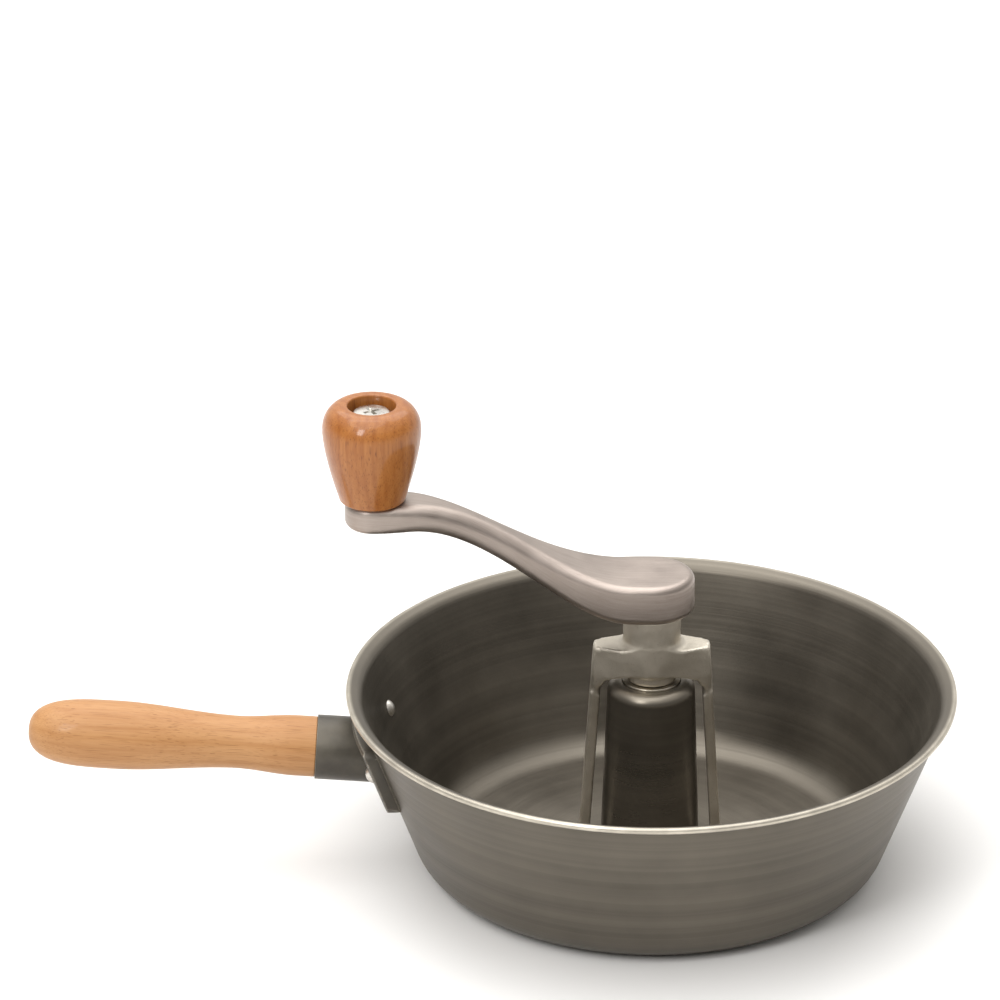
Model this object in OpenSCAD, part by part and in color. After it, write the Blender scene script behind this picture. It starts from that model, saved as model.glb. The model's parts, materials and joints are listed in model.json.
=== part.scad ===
// Hand-cranked stirring pan. A two-armed stirrer stands on the column in the middle of a
// deep pan, and a lift-out crank with a turning knob drives it through a square socket.
// The origin is the middle of the pan's underside, +Z is up, and the pan's handle and the
// crank's knob lie towards -X. Sizes are in millimetres and angles in degrees.

/* [Pan] */
// Radius over the rim
rim_r = 122.4; // [100:0.2:150]
// Height from the underside to the top of the rim
pan_h = 76; // [62:0.5:94]
// Lean of the wall out from the vertical
wall_lean = 20.3; // [15:0.1:25]
// Thickness of the spun sheet
sheet_t = 2.6; // [2:0.1:3.4]
// Outside radius of the turn from the floor to the wall
corner_r = 17; // [12:0.5:21]
// Length of the flared lip, from the wall line to the middle of its round edge
lip_run = 4; // [3:0.1:6]
// Slope of the flared lip above the horizontal
lip_rise = 22; // [10:1:40]
// Radius of the flare at the middle of the sheet
flare_r = 4.5; // [3:0.1:6]

/* [Column] */
// Height of the thrust disc's top above the rim
column_rise = 4; // [2:0.2:8]
// Radius of the column at its shoulder
column_top_r = 17.6; // [16.5:0.1:20]
// Radius of the column at the floor
column_foot_r = 20; // [18:0.1:22]
// Radius of the rounded shoulder
shoulder_r = 4.6; // [3:0.1:5]
// Radius of the hollow below the bush
cavity_r = 12; // [9:0.5:13]
// Radius of the thrust disc
disc_r = 11.6; // [11:0.1:12.4]
// Thickness of the thrust disc
disc_t = 3.8; // [3:0.1:5]
// How far the thrust disc stands proud of the column
disc_proud = 0.8; // [0.4:0.1:1.5]
// Outside radius of the bearing bush
bush_r = 7; // [5:0.1:9]
// How far the bush reaches into the hollow
bush_tail = 2; // [1:0.5:5]
// Radius of the circle of screws under the column
screw_circle_r = 16; // [15:0.1:17]
// Shank radius of the column screws
column_screw_r = 2; // [1.5:0.1:2.4]
// Length of the column screws
column_screw_l = 14; // [10:1:20]
// Radius of the fillet round the column's foot
column_fillet_r = 2; // [1:0.1:2.5]

/* [Stirrer] */
// Height of the hub
hub_h = 30; // [24:0.5:36]
// Radius of the hub's boss
boss_r = 11.4; // [10.6:0.1:13]
// Radius of the hub's foot, which stands on the thrust disc
foot_r = 10.2; // [9:0.1:11]
// Height of the web above the hub's foot
web_h = 15.2; // [12:0.2:18]
// Height of the arch's crown under the web
arch_h = 4.6; // [3:0.1:6]
// Reach of the web's nose from the axis
nose_reach = 15.4; // [13:0.1:17]
// Radius of the web's nose
nose_r = 8; // [5:0.5:10]
// Distance of the legs' outer face from the axis, at the top of the web
leg_x = 23.2; // [22.6:0.1:28]
// Lean of the legs out from the vertical
leg_lean = 3.6; // [1:0.1:8]
// Thickness of the legs and arms
strip_t = 4; // [3.2:0.1:4.8]
// Width of the legs and arms
strip_w = 7.5; // [6:0.1:10]
// Radius of the strip's bends, at the middle of its thickness
strip_bend_r = 5.5; // [4:0.1:8]
// Gap between the arms and the floor
floor_gap = 4; // [2:0.2:8]
// Gap between the arms' tips and the wall
wall_gap = 1.3; // [1:0.1:4]
// Height of the tips above the underside of the arms
tip_h = 20.3; // [14:0.1:26]
// How much more the tips lean than the wall
tip_extra = 3.5; // [0:0.1:8]

/* [Crank] */
// Distance from the drive axis to the knob's axis
throw = 111; // [90:1:135]
// Radius of the arm's wide end, round the drive axis
drive_end_r = 16.8; // [15:0.1:20]
// Radius of the arm's narrow end, under the knob
knob_end_r = 11; // [9.5:0.1:13]
// Half the width of the arm at its waist
waist_r = 6.6; // [5.5:0.1:9]
// Thickness of the arm at the drive axis
drive_end_t = 16.4; // [14:0.1:20]
// Thickness of the arm under the knob
knob_end_t = 11.4; // [9:0.1:14]
// Rise of the arm's underside from the drive axis to the knob
arm_rise = 37; // [25:0.5:48]
// Radius of the arm's rounded edges
edge_r = 3.2; // [1.5:0.1:4]
// Side of the square drive collar
collar_side = 12.6; // [11:0.1:13.5]
// Height of the drive collar
collar_h = 7.7; // [6:0.1:10]
// Side of the square drive shaft
bar_side = 5; // [4.2:0.1:6]
// Width cut from each edge of the drive shaft
bar_bevel = 0.45; // [0.3:0.05:0.8]
// Turn of the drive shaft about its own axis, against the collar
bar_turn = 25; // [0:1:45]
// Length of the drive shaft below the collar
bar_l = 61; // [50:0.5:75]
// Length of the drive shaft held in the arm
bar_hold = 11; // [8:0.5:13]
// Distance of the detent ball below the collar
detent_drop = 53.6; // [42:0.2:56]
// Radius of the detent ball
ball_r = 1.6; // [1.3:0.1:1.8]

/* [Knob] */
// Largest radius of the knob
knob_r = 19.6; // [17:0.1:24]
// Radius of the knob at its base
knob_base_r = 12.9; // [11:0.1:16]
// Height of the knob
knob_h = 40.7; // [34:0.1:50]
// Height of the knob's widest place
knob_wide_h = 29.5; // [24:0.1:34]
// Radius of the recess in the knob's top
recess_r = 9.5; // [9:0.1:10.5]
// Depth of the recess
recess_depth = 8.5; // [7.5:0.1:10]
// Radius of the knob screw's shank
knob_screw_r = 3; // [2.5:0.1:3.5]
// Radius of the knob screw's head
screw_head_r = 7.1; // [6.5:0.1:7.6]
// Height of the knob screw's head
screw_head_h = 4.4; // [3.5:0.1:5]
// Outside radius of the sleeve that the knob turns on
sleeve_r = 5; // [4.2:0.1:6]
// Radius of the washer under the knob screw's head
washer_r = 8.2; // [7.6:0.1:8.6]
// Thickness of the washer
washer_t = 1.2; // [0.8:0.1:1.6]

/* [Handle] */
// Length of the wooden grip outside its ferrule
grip_l = 115.8; // [90:1:140]
// Radius of the grip at its belly
grip_belly_r = 13.8; // [12:0.1:17]
// Radius of the grip at its waist
grip_waist_r = 10.6; // [9:0.1:13]
// Radius of the grip where it meets the ferrule
grip_neck_r = 12.2; // [11.9:0.1:12.8]
// Upward tilt of the handle
handle_tilt = 3.8; // [0:0.1:12]
// Depth of the handle's axis below the rim, where the grip meets the ferrule
handle_drop = 27.1; // [24:0.1:34]
// Length of the ferrule, from the bracket's face to the grip
ferrule_l = 19.5; // [15:0.5:28]
// Outside radius of the ferrule
ferrule_r = 13; // [12.6:0.1:14]
// Wall of the ferrule
ferrule_t = 1.2; // [0.8:0.1:1.6]
// Length of the grip's tenon inside the ferrule
tenon_l = 10; // [7:0.5:12]
// Radius of the stud that holds the grip
stud_r = 3; // [2.5:0.1:4]
// Length of the stud in the grip
stud_reach = 60; // [40:1:80]
// Half the angle that the bracket wraps round the wall
bracket_half_a = 18; // [15:0.5:24]
// Depth of the bracket's upper edge below the rim
bracket_drop = 11; // [8:0.5:14]
// Height of the bracket
bracket_h = 29; // [26:0.5:33]
// Radius of the bracket's corners
bracket_corner_r = 7; // [3:0.5:10]
// Thickness of the bracket
bracket_t = 5; // [4:0.1:6]
// Bevel round the bracket's outer edges
bracket_bevel = 1.1; // [0.5:0.1:1.6]
// Angle of each rivet from the handle's axis
rivet_a = 14; // [12:0.5:16]
// Depth of the rivets below the rim
rivet_drop = 24; // [20:0.5:28]
// Radius of the rivets' shanks
rivet_r = 2; // [1.5:0.1:2.5]
// Radius of the rivets' heads
rivet_head_r = 3.4; // [3:0.1:4]
// Height of the rivets' heads
rivet_head_h = 1.9; // [1.4:0.1:2.4]

/* [Hidden] */
$fn = 96;

seat_gap = 0.2;      // between faces of two moving pieces that rest on each other
run_gap = 0.1;       // between a turning piece and the bore or recess round it
cut = 1;             // how far a cutting shape runs past what it cuts

head_sunk = 0.2;     // of the column screws' heads, below the face round them
column_head_r = 1.85 * column_screw_r;

// Heights of the pieces on the drive axis, from the underside of the pan upwards
disc_top_z = pan_h + column_rise;
column_top_z = disc_top_z - disc_proud;
disc_seat_z = disc_top_z - disc_t;
bush_top_z = disc_seat_z - seat_gap;
hub_z = disc_top_z + seat_gap;
arm_z = hub_z + hub_h + seat_gap;
collar_z = arm_z - collar_h;
bar_tip_z = collar_z - bar_l;
detent_z = collar_z - detent_drop;
bush_low_z = detent_z + ball_r + seat_gap;
cavity_top_z = bush_low_z + bush_tail;
knob_z = arm_z + arm_rise + knob_end_t;

// Radii of the bores that the drive shaft runs in
bar_corner_r = norm([bar_side / 2, bar_side / 2 - bar_bevel]);
bore_r = bar_corner_r + 1.6 * run_gap;
ball_out = bore_r - 0.5 * run_gap - ball_r;
socket_side = collar_side + 2 * run_gap;

// Heights of the handle's pieces, which hang from the rim
handle_z = pan_h - handle_drop;
bracket_high = pan_h - bracket_drop;
bracket_low = bracket_high - bracket_h;
rivet_z = pan_h - rivet_drop;

// Thread and shank engagement of the knob screw in the arm
knob_screw_bite = knob_end_t - 1;

// --- plane geometry of bent sheet and strip ---

function unit(v) = v / norm(v);
function left(v) = [-v[1], v[0]];
function polar(a) = [cos(a), sin(a)];
function spin(v, a) = [v[0] * cos(a) - v[1] * sin(a), v[0] * sin(a) + v[1] * cos(a)];
function bend_angle(u, v) = atan2(u[0] * v[1] - u[1] * v[0], u * v);
function backwards(list) = [for (i = [len(list) - 1 : -1 : 0]) list[i]];
function arc(centre, r, from, to, steps) =
    [for (i = [0 : steps]) centre + r * polar(from + (to - from) * i / steps)];

// One side of a bent strip, at a distance to the left of its middle line
function strip_side(path, radii, side) =
    let (last = len(path) - 1)
    concat(
        [path[0] + side * left(unit(path[1] - path[0]))],
        [for (i = [1 : last - 1]) each strip_bend(path[i - 1], path[i], path[i + 1],
            radii[i - 1], side)],
        [path[last] + side * left(unit(path[last] - path[last - 1]))]);
function strip_bend(before, at, after, r, side) =
    let (
        u = unit(at - before),
        a = bend_angle(u, unit(after - at)),
        s = sign(a),
        centre = at - u * r * tan(abs(a) / 2) + s * r * left(u),
        steps = ceil(abs(a) / 7))
    [for (i = [0 : steps]) centre + (r - s * side) * spin(-s * left(u), a * i / steps)];
// The outline of a bent strip with a round far end
function strip_outline(path, radii, t) =
    let (
        last = len(path) - 1,
        u = unit(path[last] - path[last - 1]))
    concat(
        strip_side(path, radii, t / 2),
        [for (i = [1 : 7]) path[last] + t / 2 * spin(left(u), -22.5 * i)],
        backwards(strip_side(path, radii, -t / 2)));

// --- pan ---

// The middle line of the pan's sheet, as radius and height
lip_end = [rim_r - sheet_t / 2, pan_h - sheet_t / 2];
lip_root = lip_end - lip_run * polar(lip_rise);
wall_root = [lip_root[0] - (lip_root[1] - sheet_t / 2) * tan(wall_lean), sheet_t / 2];
pan_path = [[0, sheet_t / 2], wall_root, lip_root, lip_end];
pan_bends = [corner_r - sheet_t / 2, flare_r];

// Radius of the wall's outer and inner face at a height
function wall_mid_r(z) = wall_root[0] + (z - wall_root[1]) * tan(wall_lean);
function wall_out_r(z) = wall_mid_r(z) + sheet_t / 2 / cos(wall_lean);
function wall_in_r(z) = wall_mid_r(z) - sheet_t / 2 / cos(wall_lean);

// Places children on the wall's outer face with +Z along its outward normal
module on_wall(a, z) {
    rotate([0, 0, a]) translate([wall_out_r(z), 0, z]) rotate([0, 90 + wall_lean, 0]) children();
}

// The whole space inside a cone that stands off the wall's outer face
module inside_wall(off) {
    r = off / cos(wall_lean);
    rotate_extrude() polygon([[0, -pan_h], [wall_out_r(-pan_h) + r, -pan_h],
        [wall_out_r(2 * pan_h) + r, 2 * pan_h], [0, 2 * pan_h]]);
}

module pan_bowl() {
    color("dimgray")
    difference() {
        rotate_extrude() polygon(strip_outline(pan_path, pan_bends, sheet_t));
        at_column_screws() column_screw_hole();
        at_rivets() cylinder(r = rivet_r, h = 2 * cut + sheet_t, center = true);
    }
}

module at_column_screws() {
    for (i = [0 : 2]) rotate([0, 0, 90 + 120 * i]) translate([screw_circle_r, 0, 0]) children();
}

module at_rivets() {
    for (side = [-1, 1]) on_wall(180 + side * rivet_a, rivet_z)
        translate([0, 0, -sheet_t / 2]) children();
}

// --- column and bearing ---

function column_r(z) = column_foot_r
    + (column_top_r - column_foot_r) * (z - sheet_t) / (column_top_z - shoulder_r - sheet_t);

module column() {
    seat_r = disc_r + run_gap;
    shoulder = [column_top_r - shoulder_r, column_top_z - shoulder_r];
    foot = [column_foot_r + column_fillet_r, sheet_t + column_fillet_r];
    color("dimgray")
    difference() {
        rotate_extrude() polygon(concat(
            [[cavity_r, sheet_t]],
            arc(foot, column_fillet_r, 270, 180, 6),
            arc(shoulder, shoulder_r, 0, 90, 10),
            [[seat_r, column_top_z], [seat_r, bush_top_z], [bush_r, bush_top_z],
                [bush_r, cavity_top_z], [cavity_r, cavity_top_z]]));
        at_column_screws() column_screw_hole();
    }
}

// A countersunk screw with its head just inside the pan's underside
module column_screw_body() {
    rotate_extrude() polygon([[0, head_sunk], [column_head_r, head_sunk],
        [column_screw_r, head_sunk + column_head_r - column_screw_r],
        [column_screw_r, column_screw_l], [0, column_screw_l]]);
}

module column_screw_hole() {
    column_screw_body();
    translate([0, 0, -cut]) cylinder(r = column_head_r, h = cut + head_sunk);
}

module column_screws() {
    color("silver") at_column_screws() column_screw_body();
}

module ring(outer, inner, low, high) {
    rotate_extrude() polygon([[inner, low], [outer, low], [outer, high], [inner, high]]);
}

module bearing_bush() {
    color("goldenrod") ring(bush_r, bore_r, bush_low_z, bush_top_z);
}

module thrust_disc() {
    bevel = 0.4;
    color("gainsboro") rotate_extrude() polygon([[bore_r, disc_seat_z], [disc_r, disc_seat_z],
        [disc_r, disc_top_z - bevel], [disc_r - bevel, disc_top_z], [bore_r, disc_top_z]]);
}

// --- stirrer ---

arms_z = sheet_t + floor_gap;
tip_lean = wall_lean + tip_extra;
tip_end_z = arms_z + tip_h - strip_t / 2;
tip_end_x = wall_in_r(tip_end_z) - wall_gap - strip_t / 2;
arm_mid_z = arms_z + strip_t / 2;
heel_x = tip_end_x - (tip_end_z - arm_mid_z) * tan(tip_lean);
web_top_z = hub_z + web_h;
leg_mid_x = leg_x - strip_t / 2 / cos(leg_lean);
leg_foot_x = leg_mid_x + (web_top_z - arm_mid_z) * tan(leg_lean);
strip_path = [[leg_mid_x, web_top_z], [leg_foot_x, arm_mid_z], [heel_x, arm_mid_z],
    [tip_end_x, tip_end_z]];
strip_bends = [strip_bend_r, strip_bend_r];

// The web's underside is an arch that turns down into the legs
leg_fillet_r = 3;
web_end_x = leg_x - strip_t;
arch_drop = arch_h - 0.8;
arch_r = (pow(web_end_x, 2) + pow(arch_drop, 2)) / (2 * arch_drop);
function web_low(x) =
    let (turn_in = max(0, abs(x) - (web_end_x - leg_fillet_r)))
    hub_z + arch_h - arch_r + sqrt(pow(arch_r, 2) - pow(x, 2))
    - leg_fillet_r + sqrt(max(0, pow(leg_fillet_r, 2) - pow(turn_in, 2)));

module web_front() {
    low = [for (i = [-16 : 16]) let (x = web_end_x * sin(i * 90 / 16)) [x, web_low(x)]];
    polygon(concat(low, [[leg_x, low[0][1]], [leg_x, web_top_z], [-leg_x, web_top_z],
        [-leg_x, low[0][1]]]));
}

// A diamond with a round nose at the front and the back
module web_plan() {
    nose = [0, nose_reach - nose_r];
    corner = [leg_x, strip_w / 2];
    span = corner - nose;
    tangent_a = atan2(span[1], span[0]) + acos(nose_r / norm(span));
    half = concat([corner], arc(nose, nose_r, tangent_a, 180 - tangent_a, 12),
        [[-corner[0], corner[1]]]);
    polygon(concat(half, [for (p = backwards(half)) [p[0], -p[1]]]));
}

module across(width) {
    rotate([90, 0, 0]) translate([0, 0, -width / 2]) linear_extrude(width) children();
}

module hub_turning() {
    bevel = 0.9;
    root_r = 3;
    rotate_extrude() polygon(concat(
        [[0, hub_z], [foot_r - bevel, hub_z], [foot_r, hub_z + bevel], [foot_r, hub_z + arch_h + cut],
            [boss_r + root_r, hub_z + arch_h + cut]],
        arc([boss_r + root_r, web_top_z + root_r], root_r, 270, 180, 6),
        [[boss_r, hub_z + hub_h - bevel], [boss_r - bevel, hub_z + hub_h], [0, hub_z + hub_h]]));
}

module stirrer() {
    socket_depth = collar_h + 0.5;
    color("silver")
    difference() {
        union() {
            hub_turning();
            intersection() {
                translate([0, 0, hub_z - web_h]) linear_extrude(2 * web_h) web_plan();
                across(3 * nose_reach) web_front();
            }
            across(strip_w) {
                polygon(strip_outline(strip_path, strip_bends, strip_t));
                mirror([1, 0]) polygon(strip_outline(strip_path, strip_bends, strip_t));
            }
        }
        translate([0, 0, hub_z - cut]) cylinder(r = bore_r + 0.3, h = hub_h + 2 * cut);
        translate([-socket_side / 2, -socket_side / 2, hub_z + hub_h - socket_depth])
            cube([socket_side, socket_side, socket_depth + cut]);
    }
}

// --- crank arm: a plan outline with rounded edges, lofted between two S-shaped faces ---

function ease(from, to, s) = let (u = min(1, max(0, (s - from) / (to - from)))) u * u * (3 - 2 * u);
function arm_lift(s) = ease(0.08 * throw, 0.87 * throw, s);
function arm_low(s) = arm_z + arm_rise * arm_lift(s);
function arm_high(s) = arm_low(s) + drive_end_t + (knob_end_t - drive_end_t) * arm_lift(s);
function arm_half_width(s) =
    s < 0 ? sqrt(max(0, pow(drive_end_r, 2) - pow(s, 2)))
    : s > throw ? sqrt(max(0, pow(knob_end_r, 2) - pow(s - throw, 2)))
    : drive_end_r - (drive_end_r - waist_r) * ease(0.03 * throw, 0.59 * throw, s)
        + (knob_end_r - waist_r) * ease(0.6 * throw, throw, s);
// Distances along the arm from the drive axis, closer together round the ends
arm_stations = concat(
    [for (i = [1 : 8]) -drive_end_r * cos(i * 10)],
    [for (i = [0 : 26]) throw * i / 26],
    [for (i = [1 : 7]) throw + knob_end_r * sin(i * 90 / 8)]);
arm_edge = concat(
    [[-drive_end_r, 0]],
    [for (s = arm_stations) [s, arm_half_width(s)]],
    [[throw + knob_end_r, 0]],
    [for (s = backwards(arm_stations)) [s, -arm_half_width(s)]]);

module crank_loft() {
    n = len(arm_edge);
    half = len(arm_stations) + 1;
    inward = [for (i = [0 : n - 1])
        -left(unit(arm_edge[(i + 1) % n] - arm_edge[(i + n - 1) % n]))];
    // Each ring is an angle round the rounded edge, from the top face to the bottom face
    angles = [90, 65, 40, 15, 0, 0, -15, -40, -65, -90];
    rings = len(angles);
    points = [for (k = [0 : rings - 1], i = [0 : n - 1])
        let (
            a = angles[k],
            p = arm_edge[i] + inward[i] * edge_r * (1 - cos(a)),
            z = k < rings / 2 ? arm_high(p[0]) - edge_r * (1 - sin(a))
                : arm_low(p[0]) + edge_r * (1 + sin(a)))
        [-p[0], p[1], z]];
    walls = [for (k = [0 : rings - 2], i = [0 : n - 1])
        let (j = (i + 1) % n)
        each [[k * n + i, k * n + j, k * n + n + j], [k * n + i, k * n + n + j, k * n + n + i]]];
    function cap(base) = [for (i = [0 : half - 1])
        let (a = i, b = i + 1, c = (n - i - 1) % n, d = (n - i) % n)
        each concat(a == d ? [] : [[base + a, base + d, base + c]],
            b == c ? [] : [[base + a, base + c, base + b]])];
    top = cap(0);
    low = [for (f = cap((rings - 1) * n)) [f[0], f[2], f[1]]];
    polyhedron(points, [for (f = concat(walls, top, low)) [f[0], f[2], f[1]]]);
}

module crank_arm() {
    color("silver")
    difference() {
        crank_loft();
        translate([0, 0, arm_z - cut]) bar_prism(bar_hold + cut);
        translate([-throw, 0, knob_z - knob_screw_bite]) cylinder(r = knob_screw_r,
            h = knob_screw_bite + cut);
    }
}

// A bar with bevelled edges, standing on the drive axis
module bar_prism(h) {
    a = bar_side / 2;
    b = a - bar_bevel;
    rotate([0, 0, bar_turn]) linear_extrude(h)
        polygon([[a, b], [b, a], [-b, a], [-a, b], [-a, -b], [-b, -a], [b, -a], [a, -b]]);
}

module drive_collar() {
    bevel = 1.4;
    a = collar_side / 2;
    b = a - bevel;
    color("gray")
    difference() {
        translate([0, 0, collar_z]) linear_extrude(collar_h)
            polygon([[a, b], [b, a], [-b, a], [-a, b], [-a, -b], [-b, -a], [b, -a], [a, -b]]);
        translate([0, 0, collar_z - cut]) bar_prism(collar_h + 2 * cut);
    }
}

// Places children on the detent's axis, with +Z out of the shaft's face
module on_detent() {
    translate([0, 0, detent_z]) rotate([0, 0, 180 + bar_turn]) rotate([0, 90, 0]) children();
}

pocket_r = ball_r + 0.05;
pocket_floor = -0.8 * bar_side / 2;

module drive_shaft() {
    taper = 1;
    top_z = arm_z + bar_hold;
    color("darkgray")
    difference() {
        intersection() {
            translate([0, 0, bar_tip_z]) bar_prism(top_z - bar_tip_z);
            rotate_extrude() polygon([[0, bar_tip_z], [bar_corner_r - taper, bar_tip_z],
                [bar_corner_r + taper, bar_tip_z + 2 * taper], [bar_corner_r + taper, top_z], [0, top_z]]);
        }
        on_detent() translate([0, 0, pocket_floor]) cylinder(r = pocket_r, h = bar_side);
    }
}

module detent_ball() {
    color("dimgray") on_detent() translate([0, 0, ball_out]) sphere(r = ball_r);
}

module detent_spring() {
    wire_r = 0.18;
    coil_r = 1.05;
    turns = 3;
    per_turn = 12;
    sides = 6;
    low = pocket_floor + wire_r;
    high = ball_out - sqrt(pow(ball_r + wire_r, 2) - pow(coil_r, 2)) - 0.05;
    steps = turns * per_turn;
    points = [for (i = [0 : steps], k = [0 : sides - 1])
        let (
            a = 360 * i / per_turn,
            b = 360 * k / sides,
            r = coil_r + wire_r * cos(b))
        [r * cos(a), r * sin(a), low + (high - low) * i / steps + wire_r * sin(b)]];
    walls = [for (i = [0 : steps - 1], k = [0 : sides - 1])
        let (p = i * sides + k, q = i * sides + (k + 1) % sides)
        each [[p, q, q + sides], [p, q + sides, p + sides]]];
    start = [for (k = [1 : sides - 2]) [0, k + 1, k]];
    end = [for (k = [1 : sides - 2]) [steps * sides, steps * sides + k, steps * sides + k + 1]];
    color("silver") on_detent() polyhedron(points, concat(walls, start, end));
}

// --- knob ---

sleeve_top = knob_h - recess_depth + seat_gap;

module knob_frame() {
    translate([-throw, 0, knob_z]) children();
}

module wooden_knob() {
    base = seat_gap;
    foot_round = 1.2;
    crown_w = 8;
    crown_h = knob_h - knob_wide_h - 1.2;
    lip_round = 0.8;
    bore = sleeve_r + run_gap;
    belly = [for (i = [0 : 12])
        let (z = base + foot_round + (knob_wide_h - base - foot_round) * i / 12)
        [knob_r - (knob_r - knob_base_r) * pow(max(0, 1 - z / knob_wide_h), 1.45), z]];
    crown = [for (i = [0 : 10])
        [knob_r - crown_w + crown_w * cos(9 * i), knob_h - crown_h + crown_h * sin(9 * i)]];
    color("peru") knob_frame() rotate_extrude() polygon(concat(
        [[bore, base], [knob_base_r - 0.8 * foot_round, base], [knob_base_r - 0.1 * foot_round, base + 0.4 * foot_round]],
        belly, crown,
        arc([recess_r + lip_round, knob_h - lip_round], lip_round, 90, 180, 4),
        [[recess_r, knob_h - recess_depth], [bore, knob_h - recess_depth]]));
}

module knob_sleeve() {
    color("darkgray") knob_frame() ring(sleeve_r, knob_screw_r, 0, sleeve_top);
}

module knob_washer() {
    color("silver") knob_frame() ring(washer_r, knob_screw_r, sleeve_top, sleeve_top + washer_t);
}

// A pan-head screw with a cross recess
module knob_screw() {
    seat = sleeve_top + washer_t;
    top = seat + screw_head_h;
    dome = 1.6;
    slot_w = 1.5;
    slot_l = 6.8;
    slot_depth = 2.2;
    color("silver") knob_frame()
    difference() {
        rotate_extrude() polygon(concat(
            [[0, -knob_screw_bite], [knob_screw_r, -knob_screw_bite], [knob_screw_r, seat],
                [screw_head_r, seat], [screw_head_r, top - dome]],
            [for (i = [1 : 6]) [screw_head_r * cos(15 * i), top - dome + dome * sin(15 * i)]]));
        rotate([0, 0, 28]) for (a = [0, 90]) rotate([0, 0, a])
            translate([-slot_l / 2, -slot_w / 2, top - slot_depth]) cube([slot_l, slot_w, slot_depth + cut]);
    }
}

// --- handle ---

// Places children on the handle's axis, with +Z towards the butt and 0 where the grip starts
joint_x = wall_out_r(handle_z) + bracket_t / cos(wall_lean) + ferrule_l;
module handle_frame() {
    translate([-joint_x, 0, handle_z]) rotate([0, handle_tilt - 90, 0]) children();
}

module bracket_saddle() {
    n = polar(-wall_lean);
    low = [wall_out_r(bracket_low), bracket_low];
    high = [wall_out_r(bracket_high), bracket_high];
    up = unit(high - low);
    b = bracket_bevel;
    intersection() {
        rotate([0, 0, 180 - bracket_half_a]) rotate_extrude(angle = 2 * bracket_half_a)
            polygon([low, low + (bracket_t - b) * n, low + bracket_t * n + b * up,
                high + bracket_t * n - b * up, high + (bracket_t - b) * n, high]);
        translate([-rim_r - bracket_t, 0, 0]) rotate([90, 0, 90]) linear_extrude(rim_r) bracket_front();
    }
}

// The bracket's outline seen along the handle, narrower below, with round corners
module bracket_front() {
    low = bracket_low - bracket_t * sin(wall_lean);
    function half_w(z) = (wall_out_r(z) + bracket_t / cos(wall_lean)) * sin(bracket_half_a);
    corners = [[half_w(low), low], [half_w(bracket_high), bracket_high],
        [-half_w(bracket_high), bracket_high], [-half_w(low), low]];
    polygon([for (i = [0 : 3]) each strip_bend(corners[(i + 3) % 4], corners[i],
        corners[(i + 1) % 4], bracket_corner_r, 0)]);
}

module handle_bracket() {
    color("darkslategray")
    difference() {
        union() {
            bracket_saddle();
            handle_frame() translate([0, 0, -ferrule_l - 2 * bracket_t])
                cylinder(r = ferrule_r - ferrule_t, h = ferrule_l + 2 * bracket_t - tenon_l);
        }
        inside_wall(0);
        at_rivets() cylinder(r = rivet_r, h = 4 * bracket_t, center = true);
        handle_frame() stud_space();
    }
}

module stud_space() {
    translate([0, 0, -ferrule_l]) cylinder(r = stud_r, h = ferrule_l + stud_reach);
}

// Domed heads inside the pan and outside the bracket, on a shank through both
module bracket_rivets() {
    sphere_r = (pow(rivet_head_r, 2) + pow(rivet_head_h, 2)) / (2 * rivet_head_h);
    half_grip = sheet_t / 2;
    // The inner head's flat face touches the hollow wall along its edge
    inner_seat = -half_grip - pow(rivet_head_r, 2) / (2 * wall_in_r(rivet_z)) - 0.02;
    head = [for (i = [0 : 6])
        let (a = asin(rivet_head_r / sphere_r) * (1 - i / 6))
        [sphere_r * sin(a), sphere_r * cos(a) - (sphere_r - rivet_head_h)]];
    color("silver") at_rivets() rotate_extrude() polygon(concat(
        [for (p = backwards(head)) [p[0], inner_seat - p[1]]],
        [[rivet_r, inner_seat], [rivet_r, half_grip + bracket_t], [rivet_head_r, half_grip + bracket_t]],
        [for (p = head) [p[0], half_grip + bracket_t + p[1]]]));
}

module handle_ferrule() {
    color("darkslategray")
    difference() {
        handle_frame() ring(ferrule_r, ferrule_r - ferrule_t, -ferrule_l - bracket_t, 0);
        inside_wall(bracket_t);
    }
}

module handle_stud() {
    color("silver") handle_frame() stud_space();
}

// Distances along the grip from the ferrule
function grip_r(s) =
    grip_neck_r - (grip_neck_r - grip_waist_r) * ease(0.07 * grip_l, 0.27 * grip_l, s)
    + (grip_belly_r - grip_waist_r) * ease(0.27 * grip_l, 0.69 * grip_l, s);

module wooden_grip() {
    belly_at = 0.69 * grip_l;
    shaft = [for (i = [0 : 22]) let (s = belly_at * i / 22) [grip_r(s), s]];
    butt = [for (i = [1 : 14])
        let (u = sin(90 * i / 14))
        [grip_belly_r * pow(1 - pow(u, 3.5), 0.4), belly_at + (grip_l - belly_at) * u]];
    color("burlywood") handle_frame()
    difference() {
        rotate_extrude() polygon(concat(
            [[0, -tenon_l], [ferrule_r - ferrule_t, -tenon_l], [ferrule_r - ferrule_t, 0]], shaft, butt));
        stud_space();
    }
}

pan_bowl();
column();
column_screws();
bearing_bush();
handle_bracket();
bracket_rivets();
handle_ferrule();
handle_stud();
wooden_grip();
thrust_disc();
stirrer();
crank_arm();
drive_collar();
drive_shaft();
detent_spring();
detent_ball();
knob_sleeve();
knob_washer();
knob_screw();
wooden_knob();
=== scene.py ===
# %% [markdown]
# # Finishing a hand-cranked stirring pan
#
# The object is a deep spun pan with a column in its middle. A two-armed stirrer stands on the
# column, and a lift-out crank with a wooden knob turns it. The sizes, the pieces and the joints
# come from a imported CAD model, which is called the frame here. This lesson gives the frame its
# looks: smooth pieces take the place of the coarse ones, and every surface gets a material made
# of nodes. Everything is in metres, with the origin in the middle of the pan's underside.

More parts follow.
